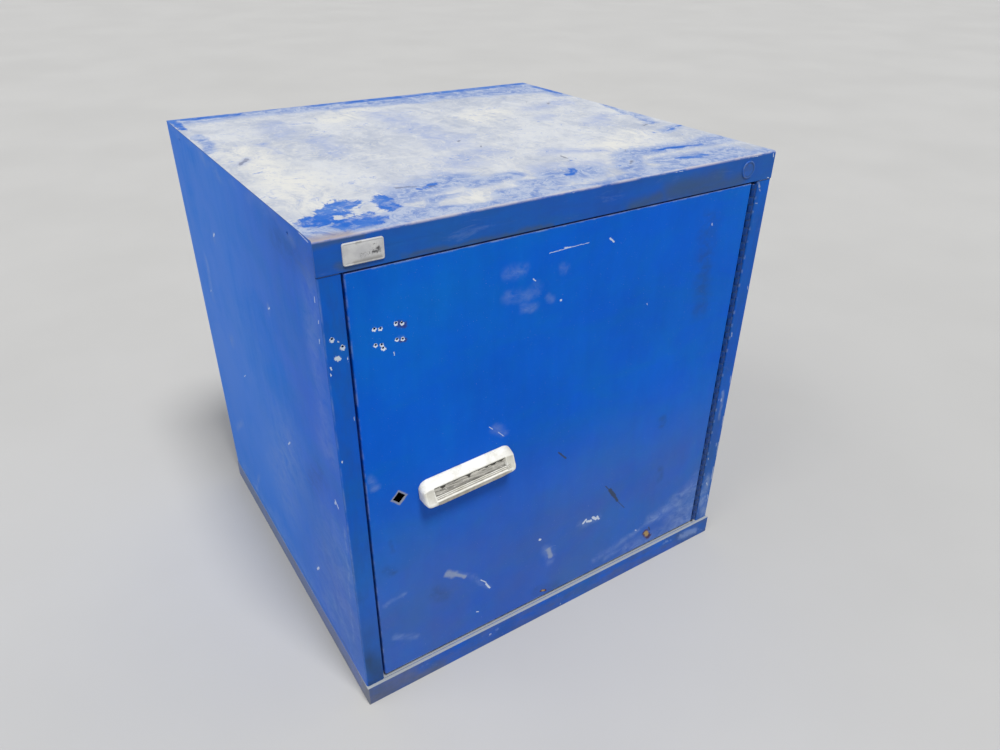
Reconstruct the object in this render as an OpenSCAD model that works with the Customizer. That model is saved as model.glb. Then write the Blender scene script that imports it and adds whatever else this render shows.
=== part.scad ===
// Single-door steel storage cabinet on a low plinth.
// Millimetres, +Z up, front towards -Y, origin at the middle of the plinth's underside.

/* [Cabinet body] */
// Width across the two side panels
body_w = 762; // [680:1:860]
// Depth from the front face to the back flanges
body_d = 705; // [600:1:800]
// Height from the floor to the top sheet
body_h = 787; // [740:1:900]
// Thickness of every folded steel sheet
sheet = 1.5; // [1.2:0.1:1.8]
// Outside radius of a fold
fold_r = 3; // [2.5:0.5:4]
// Height of the fascia above the door
header_h = 43; // [40:1:46]
// Width of the stile on each side of the door
stile_w = 30; // [29:1:34]
// Depth of the boxed stile, front to back
stile_d = 25.5; // [25:0.5:28]
// Width of the flanges around the back panel
back_flange = 20; // [18:1:30]

/* [Plinth] */
// Height of the plinth
plinth_h = 38; // [34:1:60]
// How far the plinth stands out in front of the body
plinth_front = 5; // [2:1:12]
// How far the plinth stands out at each side
plinth_side = 1; // [0:0.5:5]
// Width of the plinth's inward top flange
plinth_flange = 45; // [40:1:60]
// Radius of a plinth bolt
bolt_r = 4; // [3:0.5:5]
// Radial clearance of a plinth bolt in its holes
bolt_play = 0.5; // [0.1:0.1:0.7]

/* [Door] */
// Gap beside and above the door
door_gap = 3; // [2:0.5:4]
// Gap under the door, above the plinth
sill_gap = 9; // [6:1:12]
// Depth of the door pan
door_d = 20; // [20:0.5:20.5]
// Width of the lips that stiffen the back of the door pan
door_lip = 15; // [12:1:20]
// Distance of the lock hole from the body's left side
lock_from_left = 80; // [70:1:100]
// Height of the lock hole above the floor
lock_z = 392; // [350:1:430]
// Side of the square lock hole, which stands on its corner
lock_side = 14.5; // [12:0.5:20]

/* [Hinge] */
// Distance of the hinge axis from the body's right side
axis_from_right = 37.5; // [37:0.5:38]
// Distance of the hinge axis behind the front face
axis_setback = 2; // [1.5:0.5:2.5]
// Outside radius of a hinge knuckle
knuckle_r = 4; // [3.8:0.1:4.2]
// Length of one knuckle, half of the hinge's one-inch pitch
knuckle_len = 12.7; // [12.7:0.1:12.7]
// Number of knuckles, shared between the two leaves
knuckle_count = 54; // [50:2:54]
// Radius of the hinge pin
pin_r = 2; // [1.8:0.1:2.2]
// Radial clearance of the pin in the door's knuckles
pin_play = 0.05; // [0.02:0.01:0.1]

/* [Pull handle] */
// Length of the pull
pull_len = 157; // [150:1:180]
// Height of the pull
pull_h = 40; // [36:1:42]
// Distance of the pull's middle from the body's left side
pull_from_left = 189; // [180:1:230]
// Tilt of the pull, which is screwed on slightly crooked
pull_tilt = 3.5; // [0:0.5:5]
// Width of each solid end of the pull
pull_end = 20; // [18:1:28]

/* [Fittings] */
// Width of the nameplate
plate_w = 52; // [40:1:60]
// Height of the nameplate
plate_h = 27.5; // [20:0.5:30]
// Radius of the blanking plug's cap
plug_r = 13.75; // [12:0.25:15]
// Radius of the hole that the blanking plug fills
plug_hole_r = 11; // [9:0.5:11]
// Radius of a hasp screw hole
hasp_hole_r = 1.6; // [1:0.1:2.5]
// Radius of a side joining hole
side_hole_r = 2.25; // [1.5:0.25:4]
// Distance of the side joining holes from the front and back
side_hole_inset = 84; // [60:1:120]
// Distance of the side joining holes below the top
side_hole_drop = 16; // [12:1:25]

/* [Shelf] */
// Distance between two slots of a shelf standard
slot_pitch = 25.4; // [20:0.1:32]
// Slot that carries the shelf, counted from the bottom
shelf_slot = 13; // [8:1:18]
// Depth of the shelf's folded edges
shelf_edge = 25; // [20:1:30]

/* [Hidden] */
$fn = 48;
eps = 0.01;
mid = sheet / 2;

// Faces of the body
side_x = body_w / 2;
front_y = -body_d / 2;
back_y = body_d / 2;
header_z = body_h - header_h;
floor_z = plinth_h + sheet;
inner_x = side_x - sheet;
opening_x = side_x - stile_w;
fold_steps = 5;
fold_mid_r = fold_r - mid;

// Door pan
door_left = -opening_x + door_gap;
axis_x = side_x - axis_from_right;
axis_y = front_y + axis_setback;
door_right = axis_x - 6;
door_bottom = plinth_h + sill_gap;
door_top = header_z - door_gap;
door_back = front_y + door_d;

// Stops behind the door
stop_y = door_back + 4;
stop_drop = 15;
stop_h = 22;
bumper_r = 5;
bumper_play = 0.3;
bumper_x = 300;

// Hinge
knuckle_play = 0.3;
hinge_top = door_top - 2;
first_knuckle = 1.5 * knuckle_len;
hinge_bottom = hinge_top - first_knuckle - (knuckle_count - 1) * knuckle_len;
frame_leaf_x = opening_x - sheet;
leaf_start = axis_y + 6.5;
leaf_end = door_back - sheet;
rivet_y = front_y + 14;
rivet_count = 7;
rivet_r = 2;
rivet_head_r = 3.5;
rivet_head = 1.2;

// Places on the front
left_x = -side_x;
lock_x = left_x + lock_from_left;
pull_x = left_x + pull_from_left;
pull_z = lock_z - 1;
pull_bore_r = 2;
pull_screw_x = pull_len / 2 - pull_end / 3;
plate_x = left_x + 59;
plate_z = body_h - 22.75;
plate_peg_x = 18;
plate_peg_r = 1.5;
plug_x = side_x - 58.7;
plug_z = body_h - 21.5;
hasp_step = [29, 22.5];
hasp_a = [left_x + 79, body_h - 135];
hasp_b = [left_x + 87, body_h - 136.6];
hasp_spare = [left_x + 74, body_h - 153];
staple_holes = [[left_x + 10, body_h - 122.75], [left_x + 22, body_h - 136.25]];

// Catch at the top of the door's free side
catch_x = -250;
catch_z = header_z - 9;
catch_size = [50, 12];
catch_screw_x = 20;
catch_screw_r = 1.5;
magnet_size = [30, 8];
magnet_d = 2;
strike_t = 0.8;
strike_size = [60, 12];

// Shelf and its standards
standard_w = 30;
standard_d = 12;
standard_y = [front_y + 70, back_y - 60];
slot_size = [12, 4];
first_slot = floor_z + 12.7;
slot_count = floor((body_h - first_slot - 20) / slot_pitch) + 1;
shelf_slot_z = first_slot + shelf_slot * slot_pitch;
clip_seat = shelf_slot_z - 7.4;
shelf_z = clip_seat + shelf_edge;
shelf_x = inner_x - standard_d - 3.5;
shelf_front = front_y + 45;
shelf_back = back_y - 25;

// Plinth bolts and hidden stiffeners
bolt_x = side_x - 26;
bolt_y = 200;
stiffener_w = 40;
stiffener_d = 15;
stiffener_flange = 15;
floor_stiffener_y = 120;

function left_of(v) = [-v.y, v.x];
function unit(v) = v / norm(v);
function turned(v, a) = [v.x * cos(a) - v.y * sin(a), v.x * sin(a) + v.y * cos(a)];
function reversed(list) = [for (i = [len(list) - 1:-1:0]) list[i]];

// Points of one right-angled fold at b, on the left (side 1) or right (side -1) face
function fold(a, b, c, side) =
    let (
        way = unit(b - a),
        turn = sign(cross(way, unit(c - b))),
        centre = b - way * fold_mid_r + left_of(way) * turn * fold_mid_r,
        r = fold_mid_r - turn * side * mid
    )
    [for (i = [0:fold_steps]) centre - turn * r * turned(left_of(way), turn * 90 * i / fold_steps)];

function face_line(path, side) =
    let (n = len(path))
    [
        path[0] + side * mid * left_of(unit(path[1] - path[0])),
        for (i = [1:1:n - 2]) each fold(path[i - 1], path[i], path[i + 1], side),
        path[n - 1] + side * mid * left_of(unit(path[n - 1] - path[n - 2]))
    ];

// Cross-section of a sheet folded along the middle line given by path
module folded(path) {
    polygon(concat(face_line(path, 1), reversed(face_line(path, -1))));
}

module box(low, high) {
    translate(low) cube(high - low);
}

// Extrudes a section drawn in Y and Z from x0 to x1
module along_x(x0, x1) {
    translate([x0, 0, 0]) rotate([90, 0, 90]) linear_extrude(x1 - x0) children();
}

module rod_x(x0, x1, r) {
    translate([x0, 0, 0]) rotate([0, 90, 0]) cylinder(r = r, h = x1 - x0);
}

// A rod from y0 to y1, at point [x, z]
module rod_y(at, y0, y1, r) {
    translate([at.x, y1, at.y]) rotate([90, 0, 0]) cylinder(r = r, h = y1 - y0);
}

module hat_section(y, z, up) {
    translate([y, z]) folded([
        [-stiffener_w / 2 - stiffener_flange, 0], [-stiffener_w / 2, 0],
        [-stiffener_w / 2, up * stiffener_d], [stiffener_w / 2, up * stiffener_d],
        [stiffener_w / 2, 0], [stiffener_w / 2 + stiffener_flange, 0]
    ]);
}

module at_bolts() {
    for (x = [-bolt_x, bolt_x], y = [-bolt_y, bolt_y]) translate([x, y, 0]) children();
}

// ---- Plinth and floor ----

module plinth() {
    outer = side_x + plinth_side;
    low = front_y - plinth_front;
    color("#2f5f9e") difference() {
        box([-outer, low, 0], [outer, back_y, plinth_h]);
        box([-outer + sheet, low + sheet, sheet], [outer - sheet, back_y - sheet, plinth_h - sheet]);
        box([-outer + plinth_flange, low + plinth_flange, sheet],
            [outer - plinth_flange, back_y - plinth_flange, plinth_h + eps]);
        at_bolts() translate([0, 0, plinth_h - 2 * sheet]) cylinder(r = bolt_r + bolt_play, h = 3 * sheet);
    }
}

module floor_pan() {
    color("#2f5f9e") difference() {
        box([-inner_x, front_y, plinth_h], [inner_x, back_y - 2 * sheet, floor_z]);
        for (s = [-1, 1]) translate([s * (opening_x + stile_w), front_y, plinth_h])
            cube([2 * stile_w, 2 * stile_d, 3 * sheet], center = true);
        at_bolts() translate([0, 0, plinth_h - sheet]) cylinder(r = bolt_r + bolt_play, h = 3 * sheet);
    }
}

module floor_stiffeners() {
    span = side_x + plinth_side - plinth_flange;
    color("#3c6aa6") for (y = [-floor_stiffener_y, floor_stiffener_y])
        along_x(-span, span) hat_section(y, plinth_h - mid, -1);
}

module plinth_bolts() {
    head_h = 5.3;
    color("silver") at_bolts() {
        translate([0, 0, floor_z]) cylinder(r = 7.2, h = head_h, $fn = 6);
        translate([0, 0, floor_z - 2 * sheet - 12]) cylinder(r = bolt_r, h = 2 * sheet + 12 + 1);
    }
}

module plinth_nuts() {
    nut_h = 6.5;
    color("silver") at_bolts() translate([0, 0, plinth_h - sheet - nut_h]) difference() {
        cylinder(r = 7.2, h = nut_h, $fn = 6);
        translate([0, 0, -1]) cylinder(r = bolt_r, h = nut_h + 2);
    }
}

// ---- Body shell ----

module side_panel(is_left) {
    color("#1c55a5") mirror([is_left ? 0 : 1, 0, 0]) difference() {
        translate([0, 0, plinth_h]) linear_extrude(body_h - sheet - plinth_h) folded([
            [-side_x + back_flange, back_y - mid],
            [-side_x + mid, back_y - mid],
            [-side_x + mid, front_y + mid],
            [-opening_x - mid, front_y + mid],
            [-opening_x - mid, front_y + stile_d - mid],
            [-opening_x - stile_w * 0.6, front_y + stile_d - mid]
        ]);
        // Room for the fascia and for the inside of its fold
        box([-side_x - 1, front_y - 1, header_z - 0.6], [-opening_x + 1, front_y + sheet, body_h]);
        box([-side_x - 1, front_y - 1, body_h - fold_r], [-opening_x + 1, front_y + fold_r, body_h]);
        for (y = [front_y + side_hole_inset, back_y - side_hole_inset])
            translate([0, y, body_h - side_hole_drop]) rod_x(-side_x - 1, -inner_x + 1, side_hole_r);
        if (is_left) {
            for (p = staple_holes) rod_y(p, front_y - 1, front_y + sheet + 1, hasp_hole_r);
        } else {
            for (i = [0:rivet_count - 1]) translate([0, rivet_y, rivet_z(i)])
                rod_x(-opening_x - 2 * sheet, -opening_x + 1, rivet_r);
        }
    }
}

module back_panel() {
    color("#1c55a5") box(
        [-side_x + fold_r, back_y - 2 * sheet, plinth_h],
        [side_x - fold_r, back_y - sheet, body_h - fold_r]
    );
}

module top_panel() {
    color("#8d9bb5") difference() {
        along_x(-side_x, side_x) folded([
            [back_y - mid, body_h - back_flange], [back_y - mid, body_h - mid],
            [front_y + mid, body_h - mid], [front_y + mid, header_z]
        ]);
        for (s = [-1, 1]) translate([s * side_x, back_y, body_h - sheet - back_flange])
            cube([2 * back_flange, 8 * sheet, 2 * back_flange], center = true);
        rod_y([plug_x, plug_z], front_y - 1, front_y + sheet + 1, plug_hole_r);
        for (s = [-1, 1])
            rod_y([plate_x + s * plate_peg_x, plate_z], front_y - 1, front_y + sheet + 1, plate_peg_r);
    }
}

module top_stiffener() {
    color("#1c55a5") along_x(-inner_x, inner_x) hat_section(0, body_h - sheet - mid, -1);
}

module header_rail() {
    lip = front_y + sheet + mid;
    stop = stop_y + mid;
    color("#17498f") difference() {
        along_x(-opening_x, opening_x) folded([
            [lip, header_z + 8], [lip, header_z + mid], [stop, header_z + mid], [stop, header_z - stop_drop]
        ]);
        for (s = [-1, 1]) rod_y([catch_x + s * catch_screw_x, catch_z], stop_y - 1, stop_y + sheet + 1, catch_screw_r);
    }
}

// A flat bar welded on edge to the floor pan, behind the door
module sill_stop() {
    color("#17498f") box([-opening_x, stop_y, floor_z], [opening_x, stop_y + 2 * sheet, floor_z + stop_h]);
}

// ---- Nameplate and blanking plug ----

module rounded_slab(size, r, depth) {
    inset = size / 2 - [r, r];
    linear_extrude(depth) {
        square([size.x, 2 * inset.y], center = true);
        square([2 * inset.x, size.y], center = true);
        for (x = [-inset.x, inset.x], y = [-inset.y, inset.y]) translate([x, y]) circle(r);
    }
}

module nameplate() {
    thickness = 2;
    dome = 0.8;
    color("#d8d8d4") translate([plate_x, front_y, plate_z]) rotate([90, 0, 0]) {
        rounded_slab([plate_w, plate_h], 3, thickness);
        rounded_slab([plate_w - 3, plate_h - 3], 2, thickness + dome);
        for (s = [-1, 1]) translate([s * plate_peg_x, 0, -6]) cylinder(r = plate_peg_r, h = 7);
    }
}

module nameplate_clips() {
    color("silver") for (s = [-1, 1]) difference() {
        rod_y([plate_x + s * plate_peg_x, plate_z], front_y + sheet, front_y + sheet + 1, 4);
        rod_y([plate_x + s * plate_peg_x, plate_z], front_y, front_y + sheet + 2, plate_peg_r);
    }
}

module blanking_plug() {
    cap = 1.8;
    barrel = 8;
    wall = 1.6;
    color("#1f5096") translate([plug_x, front_y, plug_z]) rotate([90, 0, 0]) {
        cylinder(r = plug_r, h = cap - 0.6);
        cylinder(r = plug_r - 0.9, h = cap);
        translate([0, 0, -barrel]) difference() {
            cylinder(r = plug_hole_r, h = barrel + cap / 2);
            translate([0, 0, -1]) cylinder(r = plug_hole_r - wall, h = barrel + 1);
            for (a = [0, 90]) rotate(a) translate([0, 0, 2]) cube([3 * plug_hole_r, 2, 8], center = true);
        }
    }
}

// ---- Shelf ----

module standard(side, y) {
    wall = side * inner_x;
    web = side * (inner_x - standard_d + mid);
    half = standard_w / 2 - mid;
    color("#9aa3ab") difference() {
        translate([0, 0, floor_z]) linear_extrude(body_h - 8 - floor_z)
            folded([[wall, y - half], [web, y - half], [web, y + half], [wall, y + half]]);
        for (i = [0:slot_count - 1]) translate([web, y, first_slot + i * slot_pitch])
            cube([4 * sheet, slot_size.x, slot_size.y], center = true);
    }
}

module shelf_clips() {
    plate_top = shelf_slot_z + 6;
    plate_bottom = clip_seat - 12;
    face = inner_x - standard_d;
    hook_low = shelf_slot_z - slot_size.y / 2;
    color("silver") for (m = [0, 1], y = standard_y) mirror([m, 0, 0]) {
        box([face - sheet, y - 9, plate_bottom], [face, y + 9, plate_top]);
        box([face - 16, y - 9, clip_seat - sheet], [face - eps, y + 9, clip_seat]);
        box([face - eps, y - 5, hook_low], [face + 3.5, y + 5, hook_low + 3]);
    }
}

module shelf() {
    color("#8f989f") {
        along_x(-shelf_x, shelf_x) folded([
            [shelf_front + mid, clip_seat], [shelf_front + mid, shelf_z - mid],
            [shelf_back - mid, shelf_z - mid], [shelf_back - mid, clip_seat]
        ]);
        for (m = [0, 1]) mirror([m, 0, 0]) box(
            [shelf_x - sheet, shelf_front + sheet / 2, clip_seat],
            [shelf_x, shelf_back - sheet / 2, shelf_z - sheet / 2]
        );
    }
}

// ---- Continuous hinge ----

function knuckle_z(i) = i == 0 ? hinge_top : hinge_top - first_knuckle - (i - 1) * knuckle_len;
function rivet_z(i) = hinge_bottom + 30 + i * (hinge_top - hinge_bottom - 60) / (rivet_count - 1);

// One leaf: inner is the face towards the axis, outer the face that is riveted down
module hinge_leaf(first, inner, outer, bore_r) {
    way = sign(inner - outer);
    low = min(inner, outer);
    high = max(inner, outer);
    reach = axis_x - way * (bore_r + 0.5);
    difference() {
        union() {
            box([low, leaf_start, hinge_bottom], [high, leaf_end, hinge_top]);
            for (i = [first:2:knuckle_count - 1]) {
                top = knuckle_z(i) - knuckle_play / 2;
                bottom = knuckle_z(i + 1) + knuckle_play / 2;
                translate([axis_x, axis_y, bottom]) cylinder(r = knuckle_r, h = top - bottom);
                box([low, axis_y - 1.5, bottom], [high, leaf_start + eps, top]);
                box([min(inner - way * eps, reach), axis_y - 1.5, bottom],
                    [max(inner - way * eps, reach), axis_y + 1.5, top]);
            }
        }
        translate([axis_x, axis_y, hinge_bottom - 1]) cylinder(r = bore_r, h = hinge_top - hinge_bottom + 2);
        for (i = [0:rivet_count - 1]) translate([0, rivet_y, rivet_z(i)]) rod_x(low - 1, high + 1, rivet_r);
    }
}

module hinge_leaf_frame() {
    color("#153f7d") hinge_leaf(0, frame_leaf_x, opening_x, pin_r);
}

module hinge_leaf_door() {
    color("#153f7d") hinge_leaf(1, door_right + sheet, door_right, pin_r + pin_play);
}

module hinge_pin() {
    color("silver") translate([axis_x, axis_y, hinge_bottom]) cylinder(r = pin_r, h = hinge_top - hinge_bottom);
}

// Rivets through two sheets between x0 and x0 + 2 sheets
module hinge_rivets(x0) {
    x1 = x0 + 2 * sheet;
    color("#153f7d") for (i = [0:rivet_count - 1]) translate([0, rivet_y, rivet_z(i)]) {
        rod_x(x0 - rivet_head, x0, rivet_head_r);
        rod_x(x0 - eps, x1 + eps, rivet_r);
        rod_x(x1, x1 + rivet_head, rivet_head_r);
    }
}

// ---- Stops and catch ----

module door_bumpers() {
    color("#222222") for (x = [-bumper_x, bumper_x], z = [header_z - 9, floor_z + 13])
        rod_y([x, z], door_back + bumper_play, stop_y, bumper_r);
}

module catch_housing() {
    low = stop_y - 2.9;
    color("#e6e3da") difference() {
        translate([catch_x, 0, catch_z]) box(
            [-catch_size.x / 2, low, -catch_size.y / 2], [catch_size.x / 2, stop_y, catch_size.y / 2]);
        translate([catch_x, 0, catch_z]) box(
            [-magnet_size.x / 2, low - 1, -magnet_size.y / 2],
            [magnet_size.x / 2, low + magnet_d, magnet_size.y / 2]);
        for (s = [-1, 1])
            rod_y([catch_x + s * catch_screw_x, catch_z], low + 0.8, stop_y + 1, catch_screw_r);
    }
}

module catch_magnet() {
    low = stop_y - 2.9;
    color("#3a3a3c") translate([catch_x, 0, catch_z]) box(
        [-magnet_size.x / 2, low, -magnet_size.y / 2],
        [magnet_size.x / 2, low + magnet_d, magnet_size.y / 2]);
}

module catch_screws() {
    back = stop_y + sheet;
    color("silver") for (s = [-1, 1]) {
        rod_y([catch_x + s * catch_screw_x, catch_z], stop_y - 2.1, back + eps, catch_screw_r);
        rod_y([catch_x + s * catch_screw_x, catch_z], back, back + 1.6, 3);
    }
}

module strike_plate() {
    color("silver") difference() {
        translate([catch_x, 0, catch_z]) box(
            [-strike_size.x / 2, door_back, -strike_size.y / 2],
            [strike_size.x / 2, door_back + strike_t, strike_size.y / 2]);
        at_strike_rivets() rod_y([0, 0], door_back - 1, door_back + strike_t + 1, 1.2);
    }
}

module at_strike_rivets() {
    for (s = [-1, 1]) translate([catch_x + s * 27, 0, catch_z]) children();
}

module strike_rivets() {
    color("silver") at_strike_rivets() {
        rod_y([0, 0], door_back - sheet - eps, door_back + strike_t, 1.2);
        rod_y([0, 0], door_back - sheet - 1, door_back - sheet, 2.4);
    }
}

// ---- Door ----

module at_hasp_holes() {
    for (c = [hasp_a, hasp_b], x = [-1, 1], z = [-1, 1])
        translate([c.x + x * hasp_step.x / 2, 0, c.y + z * hasp_step.y / 2]) children();
    translate([hasp_spare.x, 0, hasp_spare.y]) children();
}

// Moves from the middle of the pull, on the door's face, to its place
module at_pull() {
    translate([pull_x, front_y, pull_z]) rotate([0, -pull_tilt, 0]) children();
}

module door_skin() {
    color("#1b58ad") difference() {
        union() {
            translate([0, 0, door_bottom]) linear_extrude(door_top - door_bottom) folded([
                [door_left + door_lip, door_back - mid], [door_left + mid, door_back - mid],
                [door_left + mid, front_y + mid], [door_right - mid, front_y + mid],
                [door_right - mid, door_back - mid], [door_right - door_lip, door_back - mid]
            ]);
            for (z = [door_bottom, door_top - sheet]) box(
                [door_left + mid, front_y + mid, z], [door_right - mid, door_back - mid, z + sheet]);
            for (z = [door_bottom, door_top - door_lip]) box(
                [door_left + mid, door_back - sheet, z], [door_right - mid, door_back, z + door_lip]);
        }
        translate([lock_x, front_y, lock_z]) rotate([0, 45, 0]) cube([lock_side, 8, lock_side], center = true);
        at_hasp_holes() rod_y([0, 0], front_y - 1, front_y + sheet + 1, hasp_hole_r);
        at_pull() for (s = [-1, 1]) rod_y([s * pull_screw_x, 0], -1, sheet + 1, pull_bore_r);
        at_strike_rivets() rod_y([0, 0], door_back - sheet - 1, door_back + 1, 1.2);
        for (i = [0:rivet_count - 1])
            translate([0, rivet_y, rivet_z(i)]) rod_x(door_right - 2 * sheet, door_right + 1, rivet_r);
    }
}

module door_stiffener() {
    x = (door_left + door_right) / 2 + 30;
    near = front_y + sheet + mid;
    far = door_back - sheet - mid - 1;
    color("#17498f") translate([x, 0, door_bottom + sheet]) linear_extrude(door_top - door_bottom - 2 * sheet)
        folded([[-45, near], [-25, near], [-25, far], [25, far], [25, near], [45, near]]);
}

// ---- Pull with label holder, drawn around the middle of its back face ----

// Outer outline in [stand-out, height], from the door over the front to the lower lip
pull_outline = [
    [0, pull_h / 2], [3, pull_h / 2], [15, pull_h / 2 - 9.5], [17, pull_h / 2 - 26],
    [19.5, pull_h / 2 - 31], [22, -pull_h / 2 + 6], [22, -pull_h / 2 + 4], [20.5, -pull_h / 2]
];
pull_inside = [
    [18, -pull_h / 2], [17.7, pull_h / 2 - 33.5], [14, pull_h / 2 - 27],
    [12.2, pull_h / 2 - 11.5], [2, pull_h / 2 - 3], [0, pull_h / 2 - 3]
];
label_size = [116, 15.6];
label_seat = [[15, pull_h / 2 - 10], [16.9, pull_h / 2 - 25.5]];

// Extrudes a [stand-out, height] section along the pull
module pull_bar(x0, x1) {
    along_x(x0, x1) mirror([1, 0]) children();
}

// The sloping slab between the label's seat and a plane `lift` in front of it
module label_slab(half, back, lift) {
    slope = unit(label_seat[1] - label_seat[0]);
    out = left_of(slope);
    pull_bar(-half, half) polygon([
        label_seat[0] - back * out, label_seat[1] - back * out,
        label_seat[1] + lift * out, label_seat[0] + lift * out
    ]);
}

module pull_handle() {
    half = pull_len / 2;
    color("#ece9df") at_pull() difference() {
        union() {
            pull_bar(-half, half) polygon(concat(pull_outline, pull_inside));
            for (s = [-1, 1]) pull_bar(min(s * half, s * (half - pull_end)), max(s * half, s * (half - pull_end)))
                polygon(concat(pull_outline, [[0, -pull_h / 2]]));
        }
        label_slab(label_size.x / 2, 1, 2);
        for (s = [-1, 1]) rod_y([s * pull_screw_x, 0], -10, 1, pull_bore_r);
    }
}

module label_card() {
    color("#8c8d8a") at_pull() label_slab(label_size.x / 2 - 0.3, 1, -0.5);
}

module handle_screws() {
    color("silver") at_pull() for (s = [-1, 1]) {
        rod_y([s * pull_screw_x, 0], -9, sheet + eps, pull_bore_r);
        rod_y([s * pull_screw_x, 0], sheet, sheet + 2.4, 4);
    }
}

plinth();
floor_pan();
floor_stiffeners();
plinth_bolts();
plinth_nuts();
side_panel(true);  // side_panel_left
side_panel(false);  // side_panel_right
back_panel();
top_panel();
top_stiffener();
header_rail();
sill_stop();
nameplate();
nameplate_clips();
blanking_plug();
standard(-1, standard_y[0]);  // standard_front_left
standard(1, standard_y[0]);  // standard_front_right
standard(-1, standard_y[1]);  // standard_rear_left
standard(1, standard_y[1]);  // standard_rear_right
shelf_clips();
shelf();
hinge_leaf_frame();
hinge_pin();
hinge_rivets(frame_leaf_x);  // hinge_rivets_frame
door_bumpers();
catch_housing();
catch_magnet();
catch_screws();
door_skin();
door_stiffener();
hinge_leaf_door();
hinge_rivets(door_right - sheet);  // hinge_rivets_door
pull_handle();
label_card();
handle_screws();
strike_plate();
strike_rivets();
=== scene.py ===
"""Looks for a worn blue steel storage cabinet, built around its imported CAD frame.

Metres, front towards -Y, +Z up, origin at the middle of the plinth's underside.
"""

import math

import bmesh
import bpy
from mathutils import Euler, Matrix, Vector, noise


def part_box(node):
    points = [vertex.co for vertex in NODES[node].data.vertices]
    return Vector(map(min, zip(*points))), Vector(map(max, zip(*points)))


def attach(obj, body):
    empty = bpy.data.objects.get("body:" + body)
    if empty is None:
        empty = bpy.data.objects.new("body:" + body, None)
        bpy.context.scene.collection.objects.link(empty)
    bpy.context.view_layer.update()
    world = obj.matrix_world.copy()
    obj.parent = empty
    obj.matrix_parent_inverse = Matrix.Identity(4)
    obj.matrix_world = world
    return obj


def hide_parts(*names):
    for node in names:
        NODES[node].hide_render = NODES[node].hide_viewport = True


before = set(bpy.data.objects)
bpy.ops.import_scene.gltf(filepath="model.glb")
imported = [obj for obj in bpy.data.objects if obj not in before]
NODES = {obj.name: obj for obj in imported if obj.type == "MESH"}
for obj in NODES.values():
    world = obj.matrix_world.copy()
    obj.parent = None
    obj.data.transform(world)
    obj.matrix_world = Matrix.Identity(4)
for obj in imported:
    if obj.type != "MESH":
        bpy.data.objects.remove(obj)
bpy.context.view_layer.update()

MM = 0.001
# Length of one hinge knuckle, in metres
KNUCKLE = 0.0127
# Middle of the lock hole, as on_front() takes it
LOCK_X, LOCK_DOWN = 80, 395

# ---------------------------------------------------------------- places on the body

TOP_LOW, TOP_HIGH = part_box("top_panel")
LEFT, FRONT, FASCIA_LOW = TOP_LOW
TOP = TOP_HIGH.z
DOOR_LOW, DOOR_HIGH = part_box("door_skin")
PLINTH_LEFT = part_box("plinth")[0].x
BACK_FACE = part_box("back_panel")[0].y


def on_front(x, down):
    """Point on the front face: mm from its left edge and mm below the top."""
    return Vector((LEFT + x * MM, FRONT, TOP - down * MM))


def on_left(y, down):
    """Point on the left side: mm from the front and mm below the top."""
    return Vector((LEFT, FRONT + y * MM, TOP - down * MM))


def on_top(x, y):
    """Point on the top sheet: mm from its left edge and mm from the front."""
    return Vector((LEFT + x * MM, FRONT + y * MM, TOP))


def on_right(y, down):
    """Point on the right side: mm from the front and mm below the top."""
    return Vector((-LEFT, FRONT + y * MM, TOP - down * MM))


def on_back(x, down):
    """Point on the back panel: mm from the left edge and mm below the top."""
    return Vector((LEFT + x * MM, BACK_FACE, TOP - down * MM))


# ---------------------------------------------------------------- colours, linear RGB

PAINT_DEEP = (0.0003, 0.098, 0.57, 1)
PAINT_FADED = (0.0012, 0.128, 0.56, 1)
PAINT_GREEN = (0.0010, 0.122, 0.50, 1)
PAINT_DARK = (0.003, 0.030, 0.150, 1)
HAZE = (0.22, 0.32, 0.58, 1)
# Dust colour, darkened so that it also paints shade falling off towards the floor
DUST_AND_SHADE = (0.135, 0.130, 0.105, 1)
LEDGE_DUST = (0.36, 0.38, 0.38, 1)
CHIP = (0.62, 0.69, 0.78, 1)
BARE_METAL = (0.30, 0.31, 0.33, 1)
GRIME = (0.030, 0.048, 0.038, 1)
RUST = (0.26, 0.165, 0.075, 1)
RUST_DARK = (0.075, 0.030, 0.035, 1)
RUST_BRIGHT = (0.40, 0.27, 0.11, 1)
CHIP_BRIGHT = (0.70, 0.76, 0.84, 1)
SMEAR_PALE = (0.33, 0.38, 0.46, 1)
SCORE_DARK = (0.045, 0.050, 0.030, 1)
HASP_SOIL = (0.050, 0.022, 0.050, 1)
# Lighter, greener blue for the left side: painted reflection of the surroundings on its grazing face
SIDE_SHEEN_BLUE = (0.006, 0.165, 0.66, 1)
STILE_CHIP = (0.66, 0.74, 0.84, 1)
FOLD_METAL = (0.46, 0.43, 0.46, 1)
CORNER_RUST = (0.27, 0.20, 0.18, 1)
PLINTH_SIDE = (0.26, 0.26, 0.24, 1)
PLINTH_SOIL = (0.17, 0.16, 0.135, 1)
FASCIA_SOIL = (0.060, 0.085, 0.060, 1)


# ---------------------------------------------------------------- shader helpers


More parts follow.
